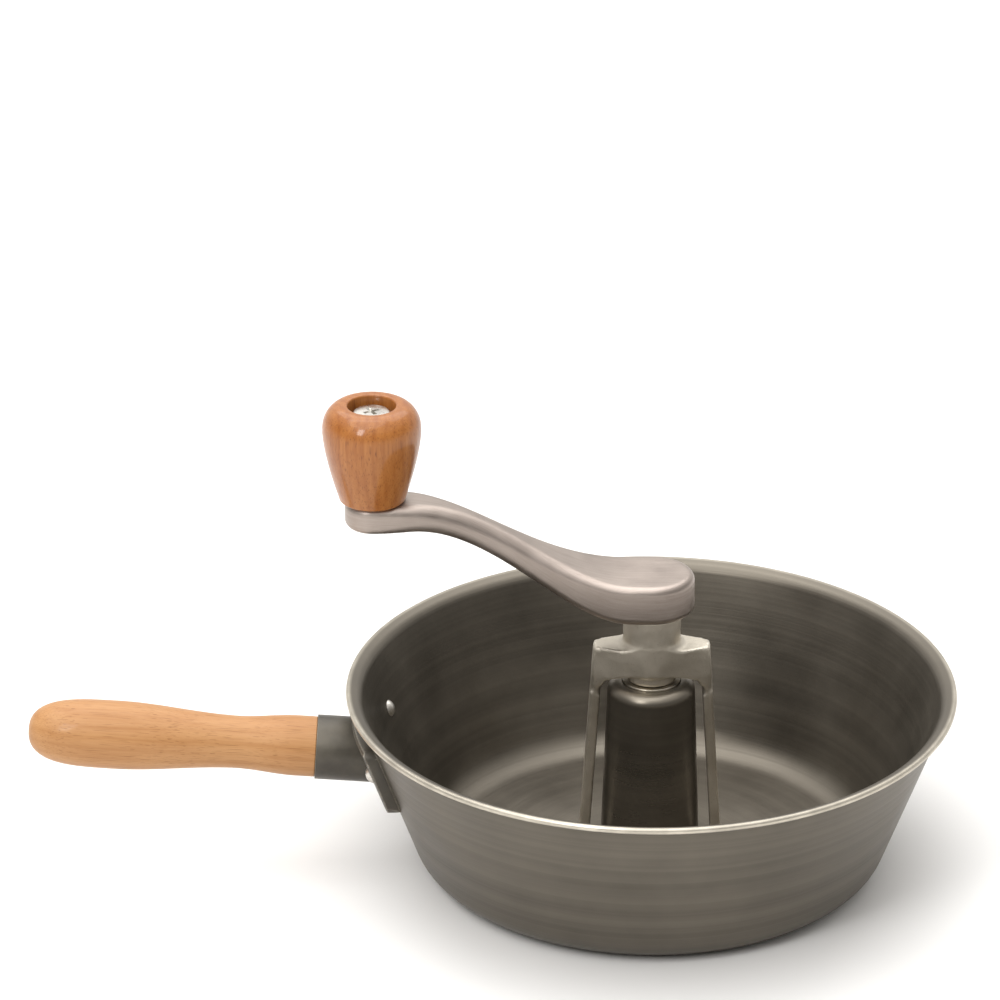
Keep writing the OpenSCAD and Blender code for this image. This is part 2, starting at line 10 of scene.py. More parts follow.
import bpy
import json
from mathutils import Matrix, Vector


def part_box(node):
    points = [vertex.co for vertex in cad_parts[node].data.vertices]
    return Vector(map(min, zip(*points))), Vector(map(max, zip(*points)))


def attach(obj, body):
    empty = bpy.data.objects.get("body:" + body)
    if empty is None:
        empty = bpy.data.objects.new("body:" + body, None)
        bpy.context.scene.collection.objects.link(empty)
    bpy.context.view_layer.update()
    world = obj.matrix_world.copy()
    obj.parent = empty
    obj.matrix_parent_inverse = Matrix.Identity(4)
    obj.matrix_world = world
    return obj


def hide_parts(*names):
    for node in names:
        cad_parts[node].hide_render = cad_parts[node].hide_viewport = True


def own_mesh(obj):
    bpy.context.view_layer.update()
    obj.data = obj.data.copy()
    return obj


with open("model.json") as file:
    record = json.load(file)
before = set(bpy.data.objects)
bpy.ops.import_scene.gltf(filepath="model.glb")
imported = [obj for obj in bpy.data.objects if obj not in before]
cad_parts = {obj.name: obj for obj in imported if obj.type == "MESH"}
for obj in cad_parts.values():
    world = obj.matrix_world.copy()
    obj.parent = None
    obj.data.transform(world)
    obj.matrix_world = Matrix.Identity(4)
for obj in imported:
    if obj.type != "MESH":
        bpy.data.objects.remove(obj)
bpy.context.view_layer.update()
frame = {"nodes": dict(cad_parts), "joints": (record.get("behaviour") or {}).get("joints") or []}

# %% Blender's own modules
import json
from math import asin, atan2, cos, hypot, pi, radians, sin, sqrt, tan

import bmesh
import bpy
from mathutils import Matrix, Vector, noise

scene = bpy.context.scene
MM = 0.001

# %% [markdown]
# ## Sizes
#
# A piece's place and its outside sizes are read from the frame. What a box can't tell, such as
# the lean of the wall or the radius of a bend, is named once here and used everywhere below.

# %% Sizes of the pan, the handle and the drive
pan_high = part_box("pan_bowl")[1]
rim_radius = pan_high.x
pan_height = pan_high.z
sheet = 2.6 * MM
wall_lean = radians(20.3)
floor_corner = 17 * MM
lip_run = 4 * MM
lip_rise = radians(22)
lip_flare = 4.5 * MM

lip_edge = Vector((rim_radius - sheet / 2, pan_height - sheet / 2))
lip_root = lip_edge - lip_run * Vector((cos(lip_rise), sin(lip_rise)))


def wall_radius(z):
    """Radius of the wall's outer face at a height."""
    return lip_root.x - (lip_root.y - z) * tan(wall_lean) + sheet / 2 / cos(wall_lean)


handle_height = pan_height - 27.1 * MM
handle_tilt = radians(3.8)
bracket_sheet = 5 * MM
ferrule_length = 19.5 * MM
ferrule_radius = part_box("handle_ferrule")[1].y
ferrule_wall = 1.2 * MM
grip_start = wall_radius(handle_height) + bracket_sheet / cos(wall_lean) + ferrule_length
handle_place = Matrix.Translation((-grip_start, 0, handle_height)) @ Matrix.Rotation(
    handle_tilt - pi / 2, 4, "Y")


knob_low, knob_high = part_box("wooden_knob")
throw = -(knob_low.x + knob_high.x) / 2
print("Rim radius", round(rim_radius / MM, 1), "mm; crank throw", round(throw / MM, 1), "mm")

# %% [markdown]
# ## Wiring nodes from Python
#
# A node tree could be wired by hand, link by link. Two small classes make it read like
# arithmetic: a call adds one node, feeds its sockets and gives its output back as a term, and a
# plus or a times between two terms adds a Math node. The same classes serve for materials and
# for geometry.


# %% Classes that wire a tree
def arithmetic(operation, swapped=False):
    """A Python operator that adds a Math node."""
    def method(term, other):
        pair = (other, term) if swapped else (term, other)
        return term.wires.math(operation, *pair)
    return method


class Term:
    """An output of a node. Arithmetic on it adds Math nodes."""

    def __init__(self, wires, node, output=0):
        self.wires, self.node, self.socket = wires, node, node.outputs[output]

    def __getitem__(self, output):
        return Term(self.wires, self.node, output)

    __add__ = __radd__ = arithmetic("ADD")
    __mul__ = __rmul__ = arithmetic("MULTIPLY")
    __sub__, __rsub__ = arithmetic("SUBTRACT"), arithmetic("SUBTRACT", swapped=True)
    __truediv__, __rtruediv__ = arithmetic("DIVIDE"), arithmetic("DIVIDE", swapped=True)


class Wiring:
    """Adds nodes to a tree and links them."""

    def __init__(self, tree):
        self.tree = tree

    def node(self, kind, sockets=(), **settings):
        """One node. Sockets is a list, in order, or a dict by name or number."""
        made = self.tree.nodes.new(kind)
        for name, value in settings.items():
            setattr(made, name, value)
        pairs = sockets.items() if isinstance(sockets, dict) else enumerate(sockets)
        for key, value in pairs:
            self.feed(made.inputs[key], value)
        return Term(self, made)

    def feed(self, socket, value):
        """Links a term to this socket, or sets the socket's own value."""
        if isinstance(value, Term):
            self.tree.links.new(value.socket, socket)
        else:
            socket.default_value = value

    def math(self, operation, *values):
        return self.node("ShaderNodeMath", values, operation=operation)

    def vector(self, operation, *values):
        return self.node("ShaderNodeVectorMath", values, operation=operation)

    def point(self, x, y, z):
        return self.node("ShaderNodeCombineXYZ", (x, y, z))

    def parts(self, vector):
        return self.node("ShaderNodeSeparateXYZ", (vector,))

    def on_circle(self, radius, angle, height):
        """A point at a radius, an angle round the Z axis and a height."""
        return self.point(self.math("COSINE", angle) * radius, self.math("SINE", angle) * radius,
                          height)

    def off_axis(self, vector):
        """Distance from the Z axis."""
        parts = self.parts(vector)
        return self.vector("LENGTH", self.point(parts["X"], parts["Y"], 0.0))["Value"]

    def in_cells(self, vector, x, y, z):
        """A place counted in cells of this size, which stretches the noise that reads it."""
        return self.vector("DIVIDE", vector, self.point(x, y, z))

    def noise(self, vector, scale=1.0, detail=2.0, roughness=0.5):
        return self.node("ShaderNodeTexNoise", {"Vector": vector, "Scale": scale,
                                                "Detail": detail, "Roughness": roughness})

    def span(self, value, low, high, to_low=0.0, to_high=1.0):
        """The value's share of the way from low to high, held between two ends."""
        return self.node("ShaderNodeMapRange", (value, low, high, to_low, to_high))

    def tint(self, share, first, second):
        """A colour between two others, in the sockets that a Mix node keeps for colours."""
        first, second = ((*colour, 1.0) if isinstance(colour, tuple) else colour
                         for colour in (first, second))
        return self.node("ShaderNodeMix", {0: share, 6: first, 7: second}, data_type="RGBA")[2]


def open_tree(name, kind, inputs, outputs):
    """Starts a node group with named sockets. Gives its wiring, its inputs and its outputs."""
    tree = bpy.data.node_groups.new(name, kind)
    for label, socket_type, value in inputs:
        socket = tree.interface.new_socket(label, in_out="INPUT", socket_type=socket_type)
        if value is not None:
            socket.default_value = value
    for label, socket_type in outputs:
        tree.interface.new_socket(label, in_out="OUTPUT", socket_type=socket_type)
    wires = Wiring(tree)
    return wires, wires.node("NodeGroupInput"), tree.nodes.new("NodeGroupOutput").inputs


def in_metal(wires, given, out, geometry):
    """Ends a geometry tree: plain geometry in its metal."""
    whole = wires.node("GeometryNodeRealizeInstances", {"Geometry": geometry})
    wires.feed(out["Geometry"], wires.node("GeometryNodeSetMaterial", {
        "Geometry": whole, "Material": given["Metal"]}))
    return wires.tree


NUMBER, VECTOR, COUNT = "NodeSocketFloat", "NodeSocketVector", "NodeSocketInt"
MATERIAL, GEOMETRY = "NodeSocketMaterial", "NodeSocketGeometry"

# %% [markdown]
# ## Effects that several finishes share
#
# Tarnish, tool marks, casting skin, rubbed edges and wood figure each turn up on more than one
# piece. Each is a node group with named inputs, built once. A group only puts out values that
# vary over the surface, and each material decides what they do to its colour and gloss.


# %% Soft blotches, for tarnish and handling
wires, given, out = open_tree(
    "soft_blotches", "ShaderNodeTree",
    [("Vector", VECTOR, None), ("Size", NUMBER, 0.03), ("Low", NUMBER, 0.0),
     ("High", NUMBER, 1.0)],
    [("Value", NUMBER)])
soft_blotches = wires.tree
size = given["Size"]
cloud = wires.noise(wires.in_cells(given["Vector"], size, size, size), 1.0, 4.0, 0.55)
wires.feed(out["Value"], wires.span(cloud, 0.32, 0.68, given["Low"], given["High"]))

# %% Fine straight lines, left by brushing, drawing or sawing
wires, given, out = open_tree(
    "fine_lines", "ShaderNodeTree",
    [("Vector", VECTOR, None), ("Length", NUMBER, 0.02), ("Width", NUMBER, 0.0002)],
    [("Lines", NUMBER)])
fine_lines = wires.tree
width = given["Width"]
lines = wires.noise(wires.in_cells(given["Vector"], given["Length"], width, width), 1.0, 3.0, 0.7)
wires.feed(out["Lines"], wires.span(lines, 0.25, 0.75))

# %% Rings round the Z axis, left by spinning or turning
wires, given, out = open_tree(
    "turned_rings", "ShaderNodeTree",
    [("Vector", VECTOR, None), ("Spacing", NUMBER, 0.001)],
    [("Rings", NUMBER)])
turned_rings = wires.tree
along = wires.off_axis(given["Vector"]) + wires.parts(given["Vector"])["Z"]
rings = wires.node("ShaderNodeTexNoise", {"W": along / given["Spacing"], "Scale": 1.0,
                                          "Detail": 3.0, "Roughness": 0.6},
                   noise_dimensions="1D")
wires.feed(out["Rings"], wires.span(rings, 0.25, 0.75))

# %% The skin of a casting: fine grains and a few pits
wires, given, out = open_tree(
    "cast_skin", "ShaderNodeTree",
    [("Vector", VECTOR, None), ("Grain", NUMBER, 0.0005)],
    [("Height", NUMBER), ("Pit Shade", NUMBER)])
cast_skin = wires.tree
grain = given["Grain"]
place = wires.in_cells(given["Vector"], grain, grain, grain)
grains = wires.noise(place, 1.0, 2.0, 0.65)
swells = wires.noise(place, 0.16)
cells = wires.node("ShaderNodeTexVoronoi", {"Vector": place, "Scale": 0.35})
pits = wires.span(cells, 0.07, 0.16, 1.0, 0.0)
wires.feed(out["Height"], grains * 0.6 + swells * 1.6 - pits * 0.5)
# The pits' mask goes out for painted shade in the pits.
wires.feed(out["Pit Shade"], pits)

# %% Edges rubbed bright
wires, given, out = open_tree(
    "rubbed_edges", "ShaderNodeTree",
    [("Vector", VECTOR, None), ("Reach", NUMBER, 0.0008), ("Breakup", NUMBER, 0.004)],
    [("Mask", NUMBER)])
rubbed_edges = wires.tree
rounded = wires.node("ShaderNodeBevel", {"Radius": given["Reach"]}, samples=4)
plain = wires.node("ShaderNodeNewGeometry")["Normal"]
agree = wires.vector("DOT_PRODUCT", rounded, plain)["Value"]
patch = wires.node("ShaderNodeGroup", node_tree=soft_blotches)
for name, value in (("Vector", given["Vector"]), ("Size", given["Breakup"]), ("Low", 0.25),
                    ("High", 1.0)):
    wires.feed(patch.node.inputs[name], value)
wires.feed(out["Mask"], wires.span(agree, 0.995, 0.93) * patch)

# %% The figure of beech, with the grain along Z
wires, given, out = open_tree(
    "beech_figure", "ShaderNodeTree",
    [("Vector", VECTOR, None), ("Ring Spacing", NUMBER, 0.003),
     ("Pith", VECTOR, (0.03, 0.012, 0.0))],
    [("Tone", NUMBER), ("Flecks", NUMBER), ("Fibres", NUMBER)])
beech_figure = wires.tree


def along_grain(across, along, detail, roughness=0.5):
    """Noise with this many cells in a metre across the grain and along it."""
    place = wires.vector("MULTIPLY", given["Vector"], (across, across, along))
    return wires.noise(place, 1.0, detail, roughness)


warp = along_grain(60.0, 9.0, 2.0)
bent = wires.off_axis(wires.vector("ADD", given["Vector"], given["Pith"])) + warp * 0.006
rings = wires.span(wires.math("SINE", bent / given["Ring Spacing"] * (2 * pi)), -1.0, 1.0)
streaks = wires.span(along_grain(260.0, 7.0, 2.0), 0.3, 0.7)
wires.feed(out["Tone"], wires.math("POWER", rings, 2.5) * 0.35 + streaks * 0.65)
wires.feed(out["Flecks"], wires.span(along_grain(3400.0, 120.0, 0.0), 0.66, 0.74))
wires.feed(out["Fibres"], wires.span(along_grain(1500.0, 45.0, 3.0, 0.6), 0.25, 0.75))
print("Shared effects:", sorted(tree.name for tree in bpy.data.node_groups))

# %% [markdown]
# ## Starting a material
#
# Each finish is one Principled BSDF. What is the same all over the surface is set on the
# shader's own sockets, and what varies is wired in. Patterns read Object coordinates: every
# piece's place is in its mesh, so a pattern stays put when a body moves.


# %% Shader helpers
class Finish(Wiring):
    """A material with one Principled BSDF, and calls that place the shared effects in it."""

    def __init__(self, name, turn=(0.0, 0.0, 0.0), shift=(0.0, 0.0, 0.0), **constants):
        self.material = bpy.data.materials.new(name)
        self.material.use_nodes = True
        super().__init__(self.material.node_tree)
        self.shader = self.tree.nodes["Principled BSDF"]
        for socket, value in constants.items():
            self.shader.inputs[socket.replace("_", " ")].default_value = value
        self.where = self.node("ShaderNodeTexCoord")["Object"]
        if any(turn) or any(shift):
            self.where = self.node("ShaderNodeMapping", {"Vector": self.where, "Location": shift,
                                                         "Rotation": turn})

    def effect(self, tree, **sockets):
        """A shared effect, placed by this material's coordinates."""
        made = self.node("ShaderNodeGroup", node_tree=tree)
        self.feed(made.node.inputs["Vector"], sockets.pop("Vector", self.where))
        for name, value in sockets.items():
            self.feed(made.node.inputs[name.replace("_", " ")], value)
        return made

    def blotches(self, size, low=0.0, high=1.0):
        return self.effect(soft_blotches, Size=size, Low=low, High=high)

    def use(self, **values):
        """Wires values to the shader's sockets, by name."""
        for socket, value in values.items():
            self.feed(self.shader.inputs[socket.replace("_", " ")], value)

    def relief(self, height, depth, strength=1.0):
        """Turns a height, as a share of depth in metres, into a normal."""
        self.use(Normal=self.node("ShaderNodeBump", {"Strength": strength, "Distance": depth,
                                                     "Height": height}))


# %% [markdown]
# ## Making pieces
#
# Three ways of making a mesh cover most of this object. A turned piece is an outline spun round
# an axis. A piece whose CAD shape is right only needs its sharp edges broken, so a merged copy
# gets a small bevel. What repeats or follows a rule is made by Geometry Nodes and then baked to
# a plain mesh, because only plain meshes are kept.


# %% Mesh helpers
def placed(name, data):
    """A new object in the scene, at the origin."""
    thing = bpy.data.objects.new(name, data)
    scene.collection.objects.link(thing)
    return thing


def opened(mesh):
    shell = bmesh.new()
    shell.from_mesh(mesh)
    return shell


def closed(shell, mesh=None):
    """Writes a bmesh into a mesh, or into a new one, and frees it."""
    mesh = mesh or bpy.data.meshes.new("piece")
    shell.to_mesh(mesh)
    shell.free()
    return mesh


def evaluated(holder):
    """A plain mesh of what an object's modifiers make. The object is removed."""
    depsgraph = bpy.context.evaluated_depsgraph_get()
    result = bpy.data.meshes.new_from_object(holder.evaluated_get(depsgraph))
    bpy.data.objects.remove(holder)
    return result


def smooth_with_creases(mesh, crease=radians(32)):
    """Smooth shading that stays crisp where two faces meet at more than the crease angle."""
    shell = opened(mesh)
    for face in shell.faces:
        face.smooth = True
    for edge in shell.edges:
        edge.smooth = edge.calc_face_angle(0.0) < crease
    return closed(shell, mesh)


def add_piece(name, mesh, body, slot, finish, *replaced):
    """Puts a finished mesh in the scene, on its body, in place of the CAD nodes it stands for."""
    piece = placed(name, mesh)
    mesh.name = name
    mesh.materials.clear()
    mesh.materials.append(finish)
    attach(piece, body)
    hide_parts(*replaced)
    mesh.calc_loop_triangles()
    low, high = (Vector(f(v.co[i] for v in mesh.vertices) for i in range(3)) for f in (min, max))
    print(name, [round(size / MM, 1) for size in high - low], "mm,",
          len(mesh.loop_triangles), "triangles")
    return piece


def keep_cad_mesh(node, finish):
    """Leaves a CAD node as it is, with a finish of its own."""
    mesh = frame["nodes"][node].data
    mesh.materials.clear()
    mesh.materials.append(finish)
    print(node, "keeps its CAD mesh, in", finish.name)


def arc(centre, radius, start, stop, steps):
    """Points along an arc, with its angles in degrees."""
    angles = (radians(start + (stop - start) * i / steps) for i in range(steps + 1))
    return [(centre[0] + radius * cos(a), centre[1] + radius * sin(a)) for a in angles]


def turned(outline, steps=144, place=Matrix.Identity(4)):
    """A mesh spun from a closed outline of radii and heights."""
    shell = bmesh.new()
    points = [shell.verts.new((radius, 0, height)) for radius, height in outline]
    edges = [shell.edges.new((points[i - 1], points[i])) for i in range(len(points))]
    bmesh.ops.spin(shell, geom=points + edges, cent=(0, 0, 0), axis=(0, 0, 1),
                   angle=2 * pi, steps=steps)
    bmesh.ops.remove_doubles(shell, verts=shell.verts, dist=1e-6)
    on_axis = [edge for edge in shell.edges if not edge.link_faces]
    bmesh.ops.delete(shell, geom=on_axis, context="EDGES")
    bmesh.ops.recalc_face_normals(shell, faces=shell.faces)
    bmesh.ops.transform(shell, matrix=place, verts=shell.verts)
    return smooth_with_creases(closed(shell))


def merged_copy(node):
    """A CAD node's mesh with its loose triangles joined and its flat faces whole."""
    shell = opened(frame["nodes"][node].data)
    bmesh.ops.remove_doubles(shell, verts=shell.verts, dist=2e-6)
    bmesh.ops.dissolve_limit(shell, angle_limit=radians(0.2), verts=shell.verts,
                             edges=shell.edges)
    return closed(shell)


def through(mesh, *modifiers):
    """The mesh after these modifiers, each a type and its settings."""
    holder = placed("holder", mesh)
    for number, (kind, settings) in enumerate(modifiers):
        modifier = holder.modifiers.new(str(number), kind)
        for name, value in settings.items():
            setattr(modifier, name, value)
    return evaluated(holder)


def softened(mesh, width, segments=3):
    """The mesh with its sharp edges rounded."""
    result = through(mesh, ("BEVEL", {"width": width, "segments": segments,
                                      "limit_method": "ANGLE", "angle_limit": radians(35),
                                      "use_clamp_overlap": True}))
    return smooth_with_creases(result, radians(40))


def carved(mesh, *cutters):
    """The mesh with the cutters' shapes taken out of it."""
    for cutter in cutters:
        tool = placed("tool", cutter)
        mesh = through(mesh, ("BOOLEAN", {"object": tool, "operation": "DIFFERENCE",
                                          "solver": "EXACT"}))
        bpy.data.objects.remove(tool)
    return smooth_with_creases(mesh)


def grown(tree, values, mesh=None):
    """What a geometry tree makes with these inputs, as a plain mesh."""
    holder = placed("holder", mesh or bpy.data.meshes.new("start"))
    modifier = holder.modifiers.new("tree", "NODES")
    modifier.node_group = tree
    for item in tree.interface.items_tree:
        if item.in_out == "INPUT" and item.name in values:
            modifier[item.identifier] = values[item.name]
    return evaluated(holder)


# %% [markdown]
# ## The dark finish of the pan and the column
#
# The pan is spun from aluminium sheet and hard anodised, which leaves a dark, warm grey that
# still has the soft shine of metal. The tool that pressed the sheet over its form left faint
# rings. Where the rim is knocked and wiped, the layer has worn to a paler metal. A dark metallic
# Principled BSDF gives that shine, and a plain dark paint would look like plastic.


# %% Dark anodised sheet
def anodised(name, roughness, ring_depth, wear_and_highlight_along, wear_and_highlight_from, wear_and_highlight_to, wear_and_highlight_colour):
    """Wear_and_highlight_along is "Radius" or "Z": the way in which the paler band runs. At the
    pan's rim the band is wear; on the column's shoulder and top it is a painted highlight.
    """
    finish = Finish(name, Metallic=0.86)
    rings = finish.effect(turned_rings, Spacing=1.3 * MM)
    broad = finish.effect(turned_rings, Spacing=9 * MM)
    patches = finish.blotches(35 * MM)
    layer = finish.tint(broad * 0.5 + patches * 0.5, (0.108, 0.096, 0.078), (0.176, 0.156, 0.127))
    if wear_and_highlight_along == "Z":
        along = finish.parts(finish.where)["Z"]
    else:
        along = finish.off_axis(finish.where)
    # A paler band: real wear at the pan's rim, a painted highlight over the column's shoulder and
    # top.
    wear_and_highlight = finish.span(along, wear_and_highlight_from, wear_and_highlight_to) * finish.blotches(11 * MM, 0.6, 1.0)
    finish.use(Base_Color=finish.tint(wear_and_highlight, layer, wear_and_highlight_colour),
               Roughness=patches * 0.12 + rings * 0.08 + (roughness - 0.1))
    if ring_depth > 0:
        finish.relief(rings + broad * 2.0, ring_depth)
    return finish.material


pan_finish = anodised("dark_anodised_sheet", roughness=0.43, ring_depth=0.012 * MM,
                      wear_and_highlight_along="Radius", wear_and_highlight_from=rim_radius - 2.4 * MM,
                      wear_and_highlight_to=rim_radius - 0.3 * MM, wear_and_highlight_colour=(0.62, 0.57, 0.48))

# %% [markdown]
# ## The pan
#
# The pan is the piece whose shape follows a rule, so Geometry Nodes make it. Four points give
# the middle line of the sheet: the centre of the floor, the foot of the wall, the root of the
# lip and its edge. The Fillet Curve node bends the line at its two corners, as a spinning tool
# does. A flat grid is then wrapped round the axis: across the grid a point goes round the pan,
# and up the grid it runs along the outer face, round the lip's edge and back down the inner
# face. A lathe in Python would do as well, but here every size stays an input of the tree.


# %% The tree that spins a pan
def build_spun_pan_tree():
    wires, given, out = open_tree(
        "spun_pan", "GeometryNodeTree",
        [("Rim Radius", NUMBER, 0.12), ("Height", NUMBER, 0.07), ("Wall Lean", NUMBER, 0.35),
         ("Sheet", NUMBER, 0.0026), ("Floor Corner", NUMBER, 0.017), ("Lip Run", NUMBER, 0.004),
         ("Lip Rise", NUMBER, 0.38), ("Lip Flare", NUMBER, 0.0045), ("Bend Steps", COUNT, 12),
         ("Edge Steps", COUNT, 7), ("Round Steps", COUNT, 192), ("Metal", MATERIAL, None)],
        [("Geometry", GEOMETRY)])
    half = given["Sheet"] / 2.0
    edge_r, edge_z = given["Rim Radius"] - half, given["Height"] - half
    root_r = edge_r - given["Lip Run"] * wires.math("COSINE", given["Lip Rise"])
    root_z = edge_z - given["Lip Run"] * wires.math("SINE", given["Lip Rise"])
    foot_r = root_r - (root_z - half) * wires.math("TANGENT", given["Wall Lean"])
    number = wires.node("GeometryNodeInputIndex")

    def by_number(kind, *values):
        """One value for each of the line's four points."""
        switch = wires.tree.nodes.new("GeometryNodeIndexSwitch")
        switch.data_type = kind
        for _ in values[2:]:
            switch.index_switch_items.new()
        for socket, value in zip(switch.inputs, (number, *values)):
            wires.feed(socket, value)
        return Term(wires, switch)

    places = by_number("VECTOR", wires.point(0.0, 0.0, half), wires.point(foot_r, 0.0, half),
                       wires.point(root_r, 0.0, root_z), wires.point(edge_r, 0.0, edge_z))
    bends = by_number("FLOAT", 0.0, given["Floor Corner"] - half, given["Lip Flare"], 0.0)
    line = wires.node("GeometryNodeMeshLine", {"Count": 4})
    line = wires.node("GeometryNodeSetPosition", {"Geometry": line, "Position": places})
    line = wires.node("GeometryNodeMeshToCurve", {"Mesh": line})
    line = wires.node("GeometryNodeFilletCurve", {"Curve": line, "Radius": bends,
                                                  "Count": given["Bend Steps"],
                                                  "Limit Radius": True}, mode="POLY")
    count = wires.node("GeometryNodeAttributeDomainSize", {"Geometry": line},
                       component="CURVE")["Point Count"]
    last = count - 1.0
    edge_steps = given["Edge Steps"] + 1.0
    last_row = last * 2.0 + edge_steps

    grid = wires.node("GeometryNodeMeshGrid", {
        "Size X": 1.0, "Size Y": 1.0, "Vertices X": given["Round Steps"] + 1.0,
        "Vertices Y": last_row + 1.0})
    spot = wires.parts(wires.node("GeometryNodeInputPosition"))
    turn = (spot["X"] + 0.5) * (2 * pi)
    row = wires.math("ROUND", (spot["Y"] + 0.5) * last_row)
    on_line = wires.math("MINIMUM", wires.math("MINIMUM", row, last_row - row), last)
    over = wires.span(row - last, 0.0, edge_steps, 0.0, pi)

    def at_line(value):
        return wires.parts(wires.node(
            "GeometryNodeSampleIndex", {"Geometry": line, "Value": value, "Index": on_line},
            data_type="FLOAT_VECTOR", domain="POINT", clamp=True))

    middle = at_line(wires.node("GeometryNodeInputPosition"))
    ahead = at_line(wires.node("GeometryNodeInputTangent"))
    out_share, ahead_share = wires.math("COSINE", over), wires.math("SINE", over)
    radius = (ahead["Z"] * out_share + ahead["X"] * ahead_share) * half + middle["X"]
    height = (ahead["Z"] * ahead_share - ahead["X"] * out_share) * half + middle["Z"]
    shell = wires.node("GeometryNodeSetPosition", {
        "Geometry": grid, "Position": wires.on_circle(radius, turn, height)})
    shell = wires.node("GeometryNodeMergeByDistance", {"Geometry": shell, "Distance": 1e-6})
    return in_metal(wires, given, out, shell)


pan_mesh = grown(build_spun_pan_tree(), {
    "Rim Radius": rim_radius, "Height": pan_height, "Wall Lean": wall_lean, "Sheet": sheet,
    "Floor Corner": floor_corner, "Lip Run": lip_run, "Lip Rise": lip_rise,
    "Lip Flare": lip_flare, "Bend Steps": 12, "Edge Steps": 7, "Round Steps": 192,
    "Metal": pan_finish})
print("The spun shell has", len(pan_mesh.vertices), "points")

# %% [markdown]
# Three countersunk screws come up through the floor into the column. Their seats are cut with
# turned cutters, so the tree stays about the pan's form alone.

# %% Screw seats in the floor
screw_low, screw_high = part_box("column_screws")
screw_ring = 16 * MM
screw_shank = 2 * MM
screw_head = 1.85 * screw_shank


def screw_places():
    """A matrix for each of the three screws under the column."""
    return [Matrix.Rotation(pi / 2 + 2 * pi * i / 3, 4, "Z") @ Matrix.Translation((screw_ring, 0, 0))
            for i in range(3)]


seat_outline = [(0, -MM), (screw_head, -MM), (screw_head, screw_low.z),
                (screw_shank, screw_low.z + screw_head - screw_shank), (screw_shank, sheet + MM),
                (0, sheet + MM)]
seats = [turned(seat_outline, 32, place) for place in screw_places()]
add_piece("spun_pan", carved(pan_mesh, *seats), "pan", "dark_pan", pan_finish, "pan_bowl")

# %% [markdown]
# ## The column
#
# The column is turned from bar and anodised with the pan. Its rounded shoulder catches the light,
# and a small fillet meets the floor. Its shoulder and top are also painted paler, a painted
# highlight. It is a lathe job in real life, so it is one here: an outline of radii and heights,
# spun round the axis.

# %% Turn the column
column_low, column_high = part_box("column")
disc_low, disc_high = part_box("thrust_disc")
bush_low, bush_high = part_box("bearing_bush")
shoulder = 4.6 * MM
column_top, column_foot = 17.6 * MM, 20 * MM
column_fillet = column_high.x - column_foot
hollow = 12 * MM
seat_radius = disc_high.x + 0.1 * MM
hollow_top = bush_low.z + 2 * MM
column_outline = (
    [(hollow, column_low.z)]
    + arc((column_foot + column_fillet, column_low.z + column_fillet), column_fillet, 270, 180, 8)
    + arc((column_top - shoulder, column_high.z - shoulder), shoulder, 0, 86, 16)
    + arc((seat_radius + 0.5 * MM, column_high.z - 0.5 * MM), 0.5 * MM, 90, 180, 4)
    + [(seat_radius, bush_high.z), (bush_high.x, bush_high.z), (bush_high.x, hollow_top),
       (hollow, hollow_top)])
# The paler band over the shoulder and the top is a painted highlight.
column_finish = anodised("dark_anodised_turning", roughness=0.33, ring_depth=0.0,
                         wear_and_highlight_along="Z", wear_and_highlight_from=column_high.z - shoulder,
                         wear_and_highlight_to=column_high.z, wear_and_highlight_colour=(0.26, 0.23, 0.185))
add_piece("turned_column", turned(column_outline), "pan", "dark_pan", column_finish, "column")

# %% [markdown]
# ## Bare turned metal
#
# The thrust disc, the screws, the washer and the sleeve are steel straight from the lathe or
# out of a plating bath. They share one recipe: fine rings round the axis for the relief, slow
# blotches for the gloss. The axis isn't always the pan's, so each finish shifts its pattern.


# %% Turned steel in several colours
def turned_steel(name, dark, light, roughness, spacing=0.35 * MM, depth=0.004 * MM,
                 shift=(0.0, 0.0, 0.0), soil=0.0):
    finish = Finish(name, shift=shift, Metallic=1.0)
    rings = finish.effect(turned_rings, Spacing=spacing)
    patches = finish.blotches(7 * MM)
    specks = finish.blotches(1.1 * MM, 0.0, soil)
    colour = finish.tint(rings * 0.4 + patches * 0.6, dark, light)
    finish.use(Base_Color=finish.tint(specks, colour, tuple(0.35 * c for c in dark)),
               Roughness=patches * 0.14 + (roughness - 0.07))
    finish.relief(rings, depth)
    return finish.material


knob_axis_shift = (throw, 0.0, 0.0)
disc_finish = turned_steel("faced_steel", (0.40, 0.36, 0.295), (0.55, 0.51, 0.435), 0.34,
                           soil=0.25)
zinc_finish = turned_steel("zinc_plate", (0.62, 0.60, 0.56), (0.80, 0.78, 0.73), 0.3,
                           shift=knob_axis_shift, soil=0.2)
base_screw_finish = turned_steel("zinc_plate_base", (0.60, 0.58, 0.53), (0.78, 0.76, 0.70), 0.34,
                                 soil=0.3)
sleeve_finish = turned_steel("sleeve_steel", (0.42, 0.40, 0.37), (0.58, 0.56, 0.52), 0.28,
                             shift=knob_axis_shift)
bronze_finish = turned_steel("oiled_bronze", (0.30, 0.18, 0.08), (0.50, 0.33, 0.16), 0.42,
                             spacing=0.6 * MM, soil=0.5)
ball_finish = turned_steel("dark_ball_steel", (0.10, 0.08, 0.065), (0.20, 0.16, 0.13), 0.3,
                           soil=0.4)

